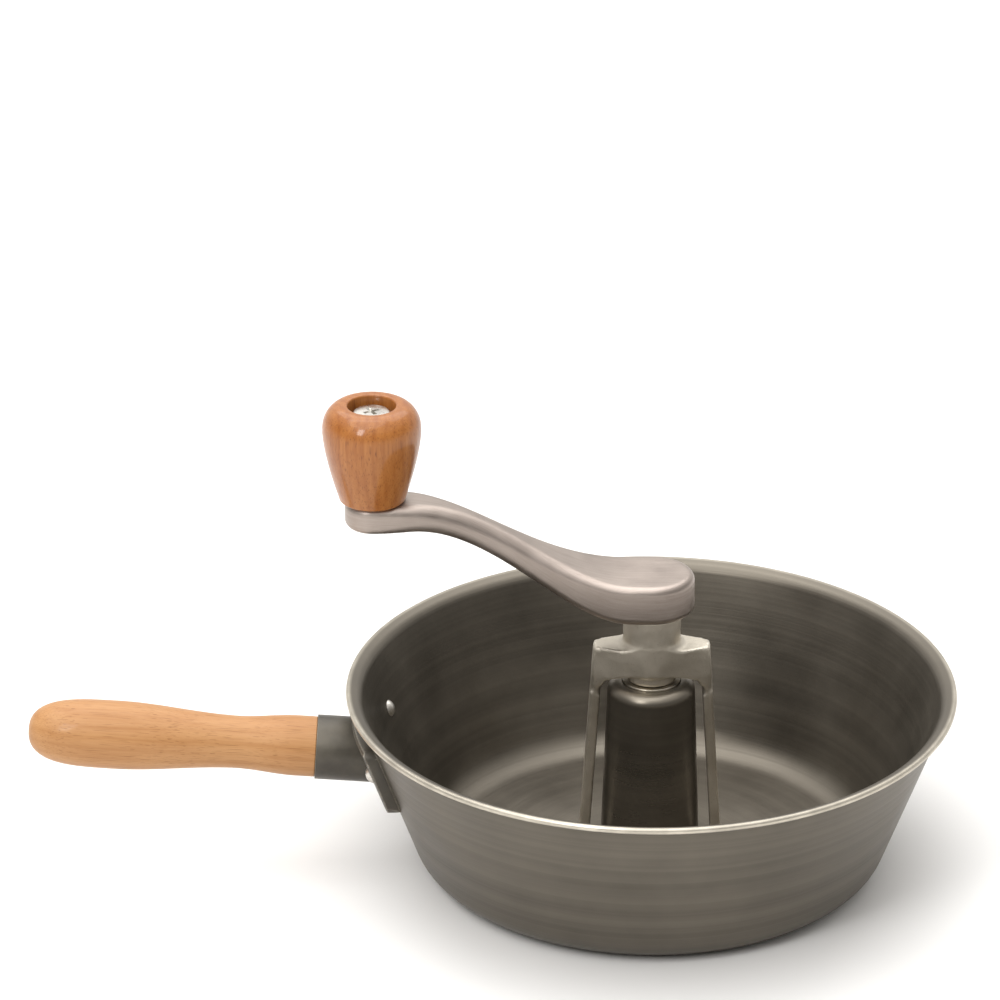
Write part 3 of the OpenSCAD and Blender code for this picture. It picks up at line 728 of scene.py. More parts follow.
# %% The thrust disc, with a dished centre and a broken edge
disc_bore = 2.96 * MM
rim_break = 0.4 * MM
disc_outline = (
    [(disc_bore, disc_low.z), (disc_high.x - rim_break, disc_low.z),
     (disc_high.x, disc_low.z + rim_break)]
    + arc((disc_high.x - rim_break, disc_high.z - rim_break), rim_break, 0, 90, 5)
    + [(disc_bore + 1.1 * MM, disc_high.z), (disc_bore + 0.7 * MM, disc_high.z - 0.25 * MM),
       (disc_bore + 0.2 * MM, disc_high.z - 0.3 * MM), (disc_bore, disc_high.z - 0.5 * MM)])
add_piece("faced_disc", turned(disc_outline), "thrust_disc", "drawn_steel", disc_finish,
          "thrust_disc")
keep_cad_mesh("bearing_bush", bronze_finish)

# %% [markdown]
# ## Screws under the column
#
# Three equal screws stand on a circle, which is what instancing is for: one screw is turned, and
# a tree puts a copy on each point of a ring. The screws could be joined by hand, but the tree
# keeps their number and circle as inputs.


# %% The tree that sets copies on a ring
def build_ring_tree():
    wires, given, out = open_tree(
        "copies_on_a_ring", "GeometryNodeTree",
        [("Geometry", GEOMETRY, None), ("Count", COUNT, 3), ("Ring Radius", NUMBER, 0.016),
         ("First Angle", NUMBER, pi / 2), ("Metal", MATERIAL, None)],
        [("Geometry", GEOMETRY)])
    step = 2 * pi / given["Count"]
    angle = wires.node("GeometryNodeInputIndex") * step + given["First Angle"]
    points = wires.node("GeometryNodePoints", {
        "Count": given["Count"], "Position": wires.on_circle(given["Ring Radius"], angle, 0.0)})
    copies = wires.node("GeometryNodeInstanceOnPoints", {
        "Points": points, "Instance": given["Geometry"], "Rotation": wires.point(0.0, 0.0, angle)})
    return in_metal(wires, given, out, copies)


# %% A countersunk screw with a cross recess, three times
def cross_blades(deep, open_end, reach, width, turn=0.0):
    """Two crossed blades, narrower at their deep end, that cut a cross recess."""
    blades = []
    for quarter in (0, 1):
        shell = bmesh.new()
        bmesh.ops.create_cube(shell, size=1.0)
        for vert in shell.verts:
            share = 0.45 if vert.co.z < 0 else 1.0
            vert.co = Vector((2 * reach * share * vert.co.x, width * share * vert.co.y,
                              deep if vert.co.z < 0 else open_end))
        bmesh.ops.rotate(shell, matrix=Matrix.Rotation(turn + quarter * pi / 2, 3, "Z"),
                         verts=shell.verts)
        bmesh.ops.recalc_face_normals(shell, faces=shell.faces)
        blades.append(closed(shell))
    return blades


screw_tip = 0.6 * MM
screw_outline = [(0, screw_low.z), (screw_head, screw_low.z),
                 (screw_shank, screw_low.z + screw_head - screw_shank),
                 (screw_shank, screw_high.z - screw_tip),
                 (screw_shank - screw_tip, screw_high.z), (0, screw_high.z)]
one_screw = carved(turned(screw_outline, 40), *cross_blades(
    deep=screw_low.z + 1.5 * MM, open_end=screw_low.z - 0.4 * MM, reach=2.1 * MM,
    width=0.9 * MM))
base_screws = grown(build_ring_tree(), {"Count": 3, "Ring Radius": screw_ring,
                                        "First Angle": pi / 2, "Metal": base_screw_finish},
                    one_screw)
add_piece("base_screws", base_screws, "pan", "zinc_steel", base_screw_finish, "column_screws")

# %% [markdown]
# ## Rivets through the wall
#
# Two rivets hold the handle's bracket. Each has a domed head inside the pan and another outside.
# The heads sit square to a wall that leans and curves, so a tree works out each place from the
# wall's radius and lean, and turns each head to the wall's own direction.

# %% Bare aluminium of the rivets
rivet_finish = turned_steel("rivet_aluminium", (0.60, 0.57, 0.52), (0.78, 0.75, 0.70), 0.38,
                            spacing=2 * MM, soil=0.35)


# %% The tree that sets heads on a leaning wall
def build_wall_heads_tree():
    wires, given, out = open_tree(
        "heads_on_a_wall", "GeometryNodeTree",
        [("Geometry", GEOMETRY, None), ("Wall Radius", NUMBER, 0.11), ("Height", NUMBER, 0.05),
         ("Wall Lean", NUMBER, 0.35), ("Spread", NUMBER, 0.24), ("Inner Step", NUMBER, 0.0026),
         ("Outer Step", NUMBER, 0.005), ("Metal", MATERIAL, None)],
        [("Geometry", GEOMETRY)])
    number = wires.node("GeometryNodeInputIndex")
    side = wires.math("MODULO", number, 2.0) * 2.0 - 1.0
    outer = wires.math("FLOOR", number / 2.0)
    angle = side * given["Spread"] + pi
    outward = wires.on_circle(wires.math("COSINE", given["Wall Lean"]), angle,
                              wires.math("SINE", given["Wall Lean"]) * -1.0)
    on_wall = wires.on_circle(given["Wall Radius"], angle, given["Height"])
    step = outer * (given["Inner Step"] + given["Outer Step"]) - given["Inner Step"]

    def along_outward(amount):
        return wires.node("ShaderNodeVectorMath", {0: outward, "Scale": amount},
                          operation="SCALE")

    points = wires.node("GeometryNodePoints", {
        "Count": 4, "Position": wires.vector("ADD", on_wall, along_outward(step))})
    upright = wires.node("FunctionNodeAlignRotationToVector",
                         {"Vector": along_outward(outer * 2.0 - 1.0)}, axis="Z")
    copies = wires.node("GeometryNodeInstanceOnPoints", {
        "Points": points, "Instance": given["Geometry"], "Rotation": upright})
    return in_metal(wires, given, out, copies)


# %% Four domed heads
rivet_height = pan_height - 24 * MM
head_radius, head_height = 3.4 * MM, 1.85 * MM
head_root = 0.4 * MM
dome = (head_radius ** 2 + head_height ** 2) / (2 * head_height)
widest = asin(head_radius / dome)
head_outline = ([(0, -head_root), (head_radius - 0.15 * MM, -head_root),
                 (head_radius, 0.1 * MM)]
                + [(dome * sin(widest * (1 - i / 8)), dome * cos(widest * (1 - i / 8)) - dome
                    + head_height) for i in range(1, 9)])
heads = grown(build_wall_heads_tree(), {
    "Wall Radius": wall_radius(rivet_height), "Height": rivet_height, "Wall Lean": wall_lean,
    "Spread": radians(14), "Inner Step": sheet, "Outer Step": bracket_sheet,
    "Metal": rivet_finish}, turned(head_outline, 40))
add_piece("rivet_heads", heads, "pan", "rivet_aluminium", rivet_finish, "bracket_rivets")

# %% [markdown]
# ## The bracket and the ferrule
#
# A saddle and a tube in dark satin enamel carry the handle. The enamel is thin and has a slight
# skin, and use has rubbed it through along the edges, where the metal shows as a light line.
# Their CAD shapes are right, so merged copies get their edges rounded with a bevel.


# %% Dark enamel over metal
def dark_enamel(name, grain, edge_reach, roughness):
    finish = Finish(name, Specular_IOR_Level=0.45)
    skin = finish.effect(cast_skin, Grain=grain)
    patches = finish.blotches(16 * MM)
    edges = finish.effect(rubbed_edges, Reach=edge_reach, Breakup=3 * MM)
    enamel = finish.tint(patches, (0.050, 0.043, 0.034), (0.100, 0.088, 0.068))
    finish.use(Base_Color=finish.tint(edges, enamel, (0.46, 0.42, 0.35)),
               Metallic=edges * 0.6 + 0.35, Roughness=patches * 0.14 + (roughness - 0.07))
    finish.relief(skin["Height"], 0.02 * MM)
    return finish.material


bracket_finish = dark_enamel("worn_enamel_bracket", grain=0.5 * MM, edge_reach=1.1 * MM,
                             roughness=0.46)
ferrule_finish = dark_enamel("worn_enamel_ferrule", grain=0.3 * MM, edge_reach=0.35 * MM,
                             roughness=0.40)
add_piece("saddle_bracket", softened(merged_copy("handle_bracket"), 0.7 * MM), "pan",
          "black_casting", bracket_finish, "handle_bracket")
add_piece("ferrule_tube", softened(merged_copy("handle_ferrule"), 0.25 * MM), "pan",
          "black_casting", ferrule_finish, "handle_ferrule")

# %% [markdown]
# ## Wood
#
# Grip and knob are both beech. The grip is only oiled and stays pale and satin. The knob is
# stained a warm orange brown and varnished until it shines. Beech has straight grain, weak
# growth rings and a host of short dark flecks along the grain. The shared figure gives these
# three, and each finish chooses its colours. The pattern is turned so that the grain runs along
# the piece, as a turner would lay the blank.


# %% Beech, oiled or varnished
def beech(name, pale, deep, fleck, ring_spacing, roughness, coat, fleck_share, **place):
    finish = Finish(name, **place, Coat_Weight=coat, Coat_Roughness=0.09, Coat_IOR=1.45,
                    Specular_IOR_Level=0.25)
    figure = finish.effect(beech_figure, Ring_Spacing=ring_spacing)
    fibres, flecks = figure["Fibres"], figure["Flecks"]
    tone = figure["Tone"] * 0.5 + fibres * 0.35 + finish.blotches(22 * MM) * 0.15
    wood = finish.tint(tone, pale, deep)
    finish.use(Base_Color=finish.tint(flecks * fleck_share, wood, fleck),
               Roughness=fibres * 0.12 + roughness)
    finish.relief(fibres - flecks, 0.008 * MM, 0.7)
    return finish.material


grip_finish = beech(
    "oiled_beech", pale=(0.52, 0.282, 0.122), deep=(0.36, 0.160, 0.055),
    fleck=(0.22, 0.090, 0.029), ring_spacing=4.2 * MM, roughness=0.42, coat=0.12,
    fleck_share=0.5, turn=(0.0, pi / 2 - handle_tilt, 0.0))
knob_finish = beech(
    "varnished_beech", pale=(0.42, 0.166, 0.040), deep=(0.23, 0.060, 0.008),
    fleck=(0.11, 0.027, 0.005), ring_spacing=3.4 * MM, roughness=0.38, coat=0.55,
    fleck_share=0.6, shift=knob_axis_shift)

# %% [markdown]
# ## The grip
#
# The grip swells from a waist near the ferrule to a belly that fills the palm, and ends in a
# full round butt. The outline is spun and then set on the handle's own tilted axis. Its place
# goes into the mesh, so the object itself stays at the origin.


# %% Turn the grip
def ease(start, stop, value):
    """A share from 0 to 1 that starts and stops gently."""
    share = min(1.0, max(0.0, (value - start) / (stop - start)))
    return share * share * (3 - 2 * share)


grip_length = 115.8 * MM
belly, waist, neck = 13.8 * MM, 10.6 * MM, 12.2 * MM
tenon = 10 * MM
stud_radius, stud_hole = 3 * MM, 60 * MM
belly_at = 0.69 * grip_length


def grip_radius(along):
    """Radius of the grip at a distance from the ferrule, up to its belly."""
    to_waist = ease(0.07 * grip_length, 0.27 * grip_length, along)
    to_belly = ease(0.27 * grip_length, belly_at, along)
    return neck - (neck - waist) * to_waist + (belly - waist) * to_belly


bore = ferrule_radius - ferrule_wall
shaft = [(grip_radius(belly_at * i / 60), belly_at * i / 60) for i in range(1, 61)]
butt = []
for i in range(1, 31):
    share = sin(pi / 2 * i / 30)
    butt.append((belly * max(0.0, 1 - share ** 3.5) ** 0.4,
                 belly_at + (grip_length - belly_at) * share))
grip_outline = ([(stud_radius, -tenon), (bore, -tenon), (bore, 0), (neck - 0.25 * MM, 0),
                 (neck, 0.3 * MM)] + shaft + butt
                + [(0, stud_hole), (stud_radius, stud_hole)])
add_piece("beech_grip", turned(grip_outline, 128, handle_place), "pan", "handle_beech",
          grip_finish, "wooden_grip")

# %% [markdown]
# ## The knob
#
# The knob narrows to its foot and has a round crown with a recess for the screw. It turns on a
# steel sleeve, and the screw's washer keeps it there. The varnish pools in a soft edge round the
# recess, so that edge is an arc and not a corner.

# %% Turn the knob
knob_base_z = knob_low.z
knob_top = knob_high.z - knob_base_z
knob_radius = (knob_high.x - knob_low.x) / 2
knob_foot = 12.9 * MM
widest_at = 29.3 * MM
recess, recess_depth = 9.5 * MM, 8.5 * MM
crown_round = 8 * MM
crown_height = knob_top - widest_at - 1.2 * MM
foot_round = 1.2 * MM
lip_round = 0.9 * MM
sleeve_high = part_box("knob_sleeve")[1]
knob_bore = sleeve_high.y + 0.1 * MM
flank = []
for i in range(41):
    z = foot_round + (widest_at - foot_round) * i / 40
    narrowing = max(0.0, 1 - z / widest_at) ** 1.45
    flank.append((knob_radius - (knob_radius - knob_foot) * narrowing, z))
crown = [(knob_radius - crown_round + crown_round * cos(radians(3 * i)),
          knob_top - crown_height + crown_height * sin(radians(3 * i))) for i in range(31)]
knob_outline = (
    [(knob_bore, 0), (flank[0][0] - foot_round, 0)]
    + [(flank[0][0] - foot_round + foot_round * sin(radians(a)),
        foot_round - foot_round * cos(radians(a))) for a in (20, 40, 60, 78)]
    + flank + crown
    + arc((recess + lip_round, knob_top - lip_round), lip_round, 90, 180, 6)
    + [(recess, knob_top - recess_depth + 0.3 * MM), (recess - 0.3 * MM, knob_top - recess_depth),
       (knob_bore, knob_top - recess_depth)])
knob_place = Matrix.Translation((-throw, 0, knob_base_z))
add_piece("knob_turning", turned(knob_outline, 128, knob_place), "knob", "knob_beech",
          knob_finish, "wooden_knob")

# %% [markdown]
# ## The knob's screw, washer and sleeve
#
# A pan-head screw with a cross recess looks up out of the knob. Its head is turned, and the
# cross is cut out with two tapered blades, so the recess is real geometry with shade inside.

# %% Turn and cut the knob's screw
head_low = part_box("knob_washer")[1].z
knob_screw_low, knob_screw_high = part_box("knob_screw")
screw_head_radius = knob_screw_high.y
screw_shank_radius = 3 * MM
head_dome = 0.4 * MM
head_edge = 0.5 * MM
head_top = knob_screw_high.z
crown_points = [(screw_head_radius * cos(radians(a)),
                 head_top - head_dome + head_dome * sin(radians(a))) for a in range(10, 90, 8)]
knob_screw_outline = (
    [(0, knob_screw_low.z), (screw_shank_radius - 0.6 * MM, knob_screw_low.z),
     (screw_shank_radius, knob_screw_low.z + 0.8 * MM), (screw_shank_radius, head_low),
     (screw_head_radius - head_edge, head_low), (screw_head_radius, head_low + head_edge),
     (screw_head_radius, head_top - head_dome)] + crown_points + [(0, head_top)])
knob_screw = carved(turned(knob_screw_outline, 64), *cross_blades(
    deep=head_top - 2.6 * MM, open_end=head_top + 0.5 * MM, reach=3.7 * MM, width=1.7 * MM,
    turn=radians(28)))
knob_screw.transform(Matrix.Translation((-throw, 0, 0)))
add_piece("cross_screw", knob_screw, "crank", "zinc_steel", zinc_finish, "knob_screw")

# %% Finishes of the CAD pieces that stay
stud_finish = turned_steel("stud_steel", (0.45, 0.43, 0.40), (0.62, 0.60, 0.56), 0.32)
for node, finish in (("knob_washer", zinc_finish), ("knob_sleeve", sleeve_finish),
                     ("handle_stud", stud_finish)):
    keep_cad_mesh(node, finish)

# %% [markdown]
# ## The crank arm
#
# The arm is cast and then brushed to a satin. It is wide and thick over the drive shaft and
# slims as it climbs in an S to the knob, with soft edges all the way. Two flat cylinders and a
# bar would miss that flow. Instead, a plan outline is walked point by point, and at each point
# the edge is rolled from the top face to the bottom face. Both faces follow the same S, so the
# arm is a loft between them.

# %% The arm's sizes
arm_low, arm_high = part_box("crank_arm")
wide_end = arm_high.y
narrow_end = -arm_low.x - throw
arm_waist = 6.6 * MM
wide_thick, narrow_thick = 16.4 * MM, 11.4 * MM
arm_rise = arm_high.z - arm_low.z - narrow_thick
end_edge, neck_edge = 3.2 * MM, 5.2 * MM


def arm_lift(s):
    """Share of the rise at a distance from the drive axis towards the knob."""
    return ease(0.08 * throw, 0.87 * throw, s)


def arm_floor(s):
    return arm_low.z + arm_rise * arm_lift(s)


def arm_roof(s):
    return arm_floor(s) + wide_thick + (narrow_thick - wide_thick) * arm_lift(s)


def arm_edge(s):
    """Radius of the rolled edge, larger along the slim neck."""
    slim = ease(0.1 * throw, 0.45 * throw, s) * (1 - ease(0.72 * throw, throw, s))
    return end_edge + (neck_edge - end_edge) * slim


def arm_half_width(s):
    if s < 0:
        return sqrt(max(0.0, wide_end ** 2 - s ** 2))
    if s > throw:
        return sqrt(max(0.0, narrow_end ** 2 - (s - throw) ** 2))
    slim = (wide_end - arm_waist) * ease(0.03 * throw, 0.59 * throw, s)
    return wide_end - slim + (narrow_end - arm_waist) * ease(0.6 * throw, throw, s)


# %% Loft the arm
def lofted_arm():
    stations = ([-wide_end * cos(radians(5 * i)) for i in range(1, 18)]
                + [throw * i / 90 for i in range(91)]
                + [throw + narrow_end * sin(radians(6 * i)) for i in range(1, 15)])
    plan = ([(-wide_end, 0.0)] + [(s, arm_half_width(s)) for s in stations]
            + [(throw + narrow_end, 0.0)] + [(s, -arm_half_width(s)) for s in reversed(stations)])
    count, half = len(plan), len(stations) + 1
    inward = []
    for i in range(count):
        before, after = Vector(plan[i - 1]), Vector(plan[(i + 1) % count])
        along = (after - before).normalized()
        inward.append(Vector((along.y, -along.x)))
    quarter = [90 - 11.25 * i for i in range(9)]
    rolls = [(a, True) for a in quarter] + [(-a, False) for a in reversed(quarter)]

    shell = bmesh.new()
    rings = []
    for angle, upper in rolls:
        ring = []
        for i in range(count):
            edge = arm_edge(plan[i][0])
            spot = Vector(plan[i]) + inward[i] * edge * (1 - cos(radians(angle)))
            if upper:
                z = arm_roof(spot.x) - edge * (1 - sin(radians(angle)))
            else:
                z = arm_floor(spot.x) + edge * (1 + sin(radians(angle)))
            ring.append(shell.verts.new((-spot.x, spot.y, z)))
        rings.append(ring)
    for upper, lower in zip(rings, rings[1:]):
        for i in range(count):
            shell.faces.new((upper[i - 1], upper[i], lower[i], lower[i - 1]))
    across = 8
    for ring in (rings[0], rings[-1]):
        rows = [[ring[0]] * (across + 1)]
        for a in range(1, half):
            left, right = ring[a], ring[count - a]
            row = [left]
            for k in range(1, across):
                row.append(shell.verts.new(left.co.lerp(right.co, k / across)))
            rows.append(row + [right])
        rows.append([ring[half]] * (across + 1))
        for first, second in zip(rows, rows[1:]):
            for k in range(across):
                corners = list(dict.fromkeys((first[k], first[k + 1], second[k + 1], second[k])))
                shell.faces.new(corners)
    bmesh.ops.recalc_face_normals(shell, faces=shell.faces)

    grain = shell.loops.layers.uv.new("grain")
    for face in shell.faces:
        flat = abs(face.normal.z) > 0.8
        for loop in face.loops:
            spot = loop.vert.co
            side = spot.y if flat else spot.z - arm_floor(-spot.x)
            loop[grain].uv = (-spot.x, side)
    return smooth_with_creases(closed(shell), radians(60))


# %% [markdown]
# The brushing runs along the arm and follows its S, so the loft carries a UV map: U is the way
# along, and V the way across. The finish stretches noise along U and uses it three ways: it
# streaks the gloss, shades the colour a little and scratches the surface.


# %% Satin brushed aluminium
def brushed_aluminium(name):
    finish = Finish(name, Metallic=1.0)
    grain = finish.node("ShaderNodeUVMap", uv_map="grain")
    fine = finish.effect(fine_lines, Vector=grain, Length=9 * MM, Width=0.16 * MM)
    broad = finish.effect(fine_lines, Vector=grain, Length=26 * MM, Width=1.3 * MM)
    patches = finish.blotches(16 * MM)
    tone = fine * 0.45 + broad * 0.3 + patches * 0.25
    finish.use(Base_Color=finish.tint(tone, (0.245, 0.203, 0.178), (0.475, 0.410, 0.367)),
               Roughness=fine * 0.14 + patches * 0.08 + 0.30)
    finish.relief(broad * 1.2 + fine, 0.02 * MM)
    return finish.material


arm_finish = brushed_aluminium("satin_brushed_aluminium")
add_piece("brushed_arm", lofted_arm(), "crank", "brushed_aluminium", arm_finish, "crank_arm")

# %% [markdown]
# ## The collar and the drive shaft
#
# A square collar under the arm fits the stirrer's socket, and a slim square bar runs down
# through the hub into the column. The collar was sawn and left rough and dull, the bar is drawn
# steel with a fine lengthwise sheen. Both are merged copies with broken edges.


# %% Sawn and drawn steel
def steel_bar(name, dark, light, roughness, line_width, depth, reach, **place):
    finish = Finish(name, **place, Metallic=1.0)
    lines = finish.effect(fine_lines, Length=12 * MM, Width=line_width)
    patches = finish.blotches(5 * MM)
    edges = finish.effect(rubbed_edges, Reach=reach, Breakup=2 * MM)
    steel = finish.tint(lines * 0.55 + patches * 0.45, dark, light)
    finish.use(Base_Color=finish.tint(edges * 0.6, steel, (0.62, 0.57, 0.52)),
               Roughness=lines * 0.16 + patches * 0.1 + (roughness - 0.13))
    finish.relief(lines, depth)
    return finish.material


collar_finish = steel_bar("sawn_steel", dark=(0.13, 0.113, 0.10), light=(0.29, 0.26, 0.235),
                          roughness=0.50, line_width=0.35 * MM, depth=0.05 * MM,
                          reach=0.5 * MM)
shaft_finish = steel_bar("drawn_steel", dark=(0.14, 0.127, 0.115), light=(0.28, 0.258, 0.237),
                         roughness=0.34, line_width=0.12 * MM, depth=0.010 * MM,
                         reach=0.3 * MM, turn=(0.0, pi / 2, 0.0))
add_piece("collar_block", softened(merged_copy("drive_collar"), 0.35 * MM), "crank",
          "worn_steel", collar_finish, "drive_collar")
add_piece("square_bar", softened(merged_copy("drive_shaft"), 0.08 * MM, 2), "crank",
          "drawn_steel", shaft_finish, "drive_shaft")

# %% [markdown]
# ## The detent
#
# A spring pushes a small ball out of the bar near its tip. The spring follows a helix, so it is
# a Spiral curve given a round wire by Curve to Mesh. The ball is a sphere of even triangles, so it
# has no poles to shade badly.


# %% The tree that winds a spring
def build_spring_tree():
    wires, given, out = open_tree(
        "wound_spring", "GeometryNodeTree",
        [("Coil Radius", NUMBER, 0.001), ("Wire Radius", NUMBER, 0.0002), ("Turns", NUMBER, 3.0),
         ("Length", NUMBER, 0.002), ("Metal", MATERIAL, None)],
        [("Geometry", GEOMETRY)])
    helix = wires.node("GeometryNodeCurveSpiral", {
        "Resolution": 24, "Rotations": given["Turns"], "Start Radius": given["Coil Radius"],
        "End Radius": given["Coil Radius"], "Height": given["Length"]})
    section = wires.node("GeometryNodeCurvePrimitiveCircle", {
        "Resolution": 10, "Radius": given["Wire Radius"]})
    wire = wires.node("GeometryNodeCurveToMesh", {"Curve": helix, "Profile Curve": section,
                                                  "Fill Caps": True})
    return in_metal(wires, given, out, wire)


# %% Spring and ball
bar_turn = radians(25)
ball_low, ball_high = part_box("detent_ball")
ball_radius = (ball_high.z - ball_low.z) / 2
detent_out = Vector((-cos(bar_turn), -sin(bar_turn), 0))
ball_centre = (ball_low + ball_high) / 2
spring_wire = 0.18 * MM
coil_radius = 1.05 * MM
spring_start = Vector((0, 0, ball_centre.z)) - detent_out * (2 * MM - spring_wire)
spring_length = ((ball_centre - spring_start).length - 0.05 * MM
                 - sqrt((ball_radius + spring_wire) ** 2 - coil_radius ** 2))
along_detent = detent_out.to_track_quat("Z", "Y").to_matrix().to_4x4()
spring = grown(build_spring_tree(), {"Coil Radius": coil_radius, "Wire Radius": spring_wire,
                                     "Turns": 3.0, "Length": spring_length,
                                     "Metal": shaft_finish})
spring.transform(Matrix.Translation(spring_start) @ along_detent)
smooth_with_creases(spring, radians(60))
spring_piece = add_piece("wound_spring", spring, "crank", "zinc_steel", shaft_finish,
                         "detent_spring")
push = next(joint for joint in frame["joints"] if joint["name"] == "detent_push")
1 - push["range_m"][1] / spring_length
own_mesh(spring_piece)


ball_shell = bmesh.new()
bmesh.ops.create_icosphere(ball_shell, subdivisions=4, radius=ball_radius,
                           matrix=Matrix.Translation(ball_centre))
ball_mesh = smooth_with_creases(closed(ball_shell))
add_piece("steel_ball", ball_mesh, "detent", "worn_steel", ball_finish, "detent_ball")

# %% [markdown]
# ## The stirrer
#
# The stirrer is one sand casting: hub, web, two legs and two arms that follow the pan. A casting
# has no sharp corners, because sand can't hold them, and its faces are never quite flat. The
# real one is cast first, and then its bore is drilled and its square socket broached. The same
# order works here. The hub's holes are filled, a voxel remesh turns the copy into an even skin,
# smoothing rounds every corner, inside and out, and a slow noise moves the skin a little. Only
# then are bore and socket cut, which leaves them crisp.

# %% Cast the stirrer
stirrer_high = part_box("stirrer")[1]
boss_radius = 11.4 * MM
bore_radius = 3.26 * MM
socket_half = 6.4 * MM
socket_depth = 8.2 * MM
hub_height = 30 * MM
hub_foot = stirrer_high.z - hub_height

web_top = hub_foot + 15.2 * MM
web_end = 23.2 * MM
strip_half = 3.75 * MM
flank_radius = boss_radius + 0.1 * MM
web_margin = 3 * MM


def beside_the_web(side):
    """The sand in front of or behind the web: straight flanks that meet the round boss."""
    reach = hypot(web_end, strip_half)
    meet = pi / 2 - asin(flank_radius / reach) + atan2(strip_half, web_end)
    flank = [(flank_radius * cos(a), flank_radius * sin(a))
             for a in (meet + (pi - 2 * meet) * i / 16 for i in range(17))]
    outline = ([(2 * web_end, strip_half), (web_end, strip_half)] + flank
               + [(-web_end, strip_half), (-2 * web_end, strip_half), (-2 * web_end, web_end),
                  (2 * web_end, web_end)])
    shell = bmesh.new()
    base = shell.faces.new([shell.verts.new((x, side * y, hub_foot - web_margin))
                            for x, y in outline])
    upper = bmesh.ops.extrude_face_region(shell, geom=[base])["geom"]
    bmesh.ops.translate(shell, vec=(0, 0, web_top - hub_foot + 2 * web_margin),
                        verts=[v for v in upper if isinstance(v, bmesh.types.BMVert)])
    bmesh.ops.recalc_face_normals(shell, faces=shell.faces)
    return closed(shell)


def softly_blended(mesh, *spots):
    """Smooths round each spot and its mirror images. A spot is a place, a reach and passes."""
    shell = opened(mesh)
    for place, reach, passes in spots:
        near = [v for v in shell.verts
                if (Vector((abs(v.co.x), abs(v.co.y), v.co.z)) - Vector(place)).length < reach]
        for _ in range(passes):
            bmesh.ops.smooth_vert(shell, verts=near, factor=0.5, use_axis_x=True,
                                  use_axis_y=True, use_axis_z=True)
    closed(shell, mesh)


blank = opened(carved(merged_copy("stirrer"), beside_the_web(1), beside_the_web(-1)))
filler_radius = boss_radius - 1.2 * MM
filler_top = stirrer_high.z - 0.02 * MM
blank.from_mesh(turned([(0, hub_foot + 0.3 * MM), (9 * MM, hub_foot + 0.3 * MM),
                        (filler_radius, hub_foot + 6 * MM), (filler_radius, filler_top),
                        (0, filler_top)], 96))
casting = through(closed(blank),
                  ("REMESH", {"mode": "VOXEL", "voxel_size": 0.48 * MM, "use_smooth_shade": True}),
                  ("SMOOTH", {"factor": 0.5, "iterations": 4}))
leg_root = (web_end - 2.6 * MM, 3.4 * MM, hub_foot - 1.6 * MM)
web_corner = (web_end, strip_half, web_top)
softly_blended(casting, (leg_root, 5.0 * MM, 40), (web_corner, 3.2 * MM, 16))
outward = [vert.normal.copy() for vert in casting.vertices]
for vert, normal in zip(casting.vertices, outward):
    swell = 0.09 * noise.noise(vert.co / (7 * MM)) + 0.03 * noise.noise(vert.co / (2.2 * MM))
    vert.co += normal * (swell + 0.1) * MM
bore_mouth = bore_radius + 0.8 * MM
above_hub = stirrer_high.z + MM
bore_cutter = turned([(0, hub_foot - MM), (bore_mouth, hub_foot - MM),
                      (bore_mouth, hub_foot + 0.2 * MM), (bore_radius, hub_foot + MM),
                      (bore_radius, above_hub), (0, above_hub)], 48)
socket_shell = bmesh.new()
bmesh.ops.create_cube(socket_shell, size=1.0)
for vert in socket_shell.verts:
    side = Vector((vert.co.x, vert.co.y)) * 2 * socket_half
    vert.co = (*side, above_hub if vert.co.z > 0 else stirrer_high.z - socket_depth)
socket_cutter = closed(socket_shell)
print("The casting has", len(casting.polygons), "faces before it is machined")


# %% [markdown]
# Tumbling with stones left the casting bare and pale, with a soft grain, a few pits and a
# brighter line where corners stand out. The pits are painted darker, as painted shade, and the
# walls of the square socket are painted near black, as painted shade in the recess.


# %% Tumbled cast aluminium
def cast_aluminium(name):
    finish = Finish(name, Metallic=1.0)
    skin = finish.effect(cast_skin, Grain=0.45 * MM)
    patches = finish.blotches(14 * MM)
    edges = finish.effect(rubbed_edges, Reach=1.6 * MM, Breakup=5 * MM)
    bare = finish.tint(patches, (0.46, 0.418, 0.348), (0.60, 0.552, 0.472))
    # The pits are painted darker: painted shade in the pits.
    pit_shaded = finish.tint(skin["Pit Shade"] * 0.55, bare, (0.26, 0.23, 0.18))
    rubbed = finish.tint(edges * 0.7, pit_shaded, (0.74, 0.70, 0.62))
    parts = finish.parts(finish.where)
    far = finish.math("MAXIMUM", finish.math("ABSOLUTE", parts["X"]),
                      finish.math("ABSOLUTE", parts["Y"]))
    # The walls of the square socket, from just under its mouth down, are painted near black: painted
    # shade in the recess.
    socket_shade_across = finish.span(far, socket_half + 0.15 * MM, socket_half - 0.1 * MM)
    socket_shade_down = finish.span(parts["Z"], stirrer_high.z - 0.1 * MM, stirrer_high.z - 1.5 * MM)
    finish.use(Base_Color=finish.tint(socket_shade_across * socket_shade_down, rubbed, (0.05, 0.045, 0.04)),
               Roughness=patches * 0.1 - edges * 0.1 + 0.44)
    finish.relief(skin["Height"], 0.05 * MM)
    return finish.material


stirrer_finish = cast_aluminium("tumbled_cast_aluminium")
add_piece("cast_stirrer", carved(casting, bore_cutter, socket_cutter), "stirrer",
          "cast_aluminium", stirrer_finish, "stirrer")

# %% [markdown]
# ## The stage
#
# A plain pale floor and soft light. A broad lamp overhead and a small one from the front left do
# the work of studio soft boxes, and a wide sun lifts the floor evenly. The sky is dark in a band
# above the horizon in front, which draws the darker side of the satin metal, and pale behind.


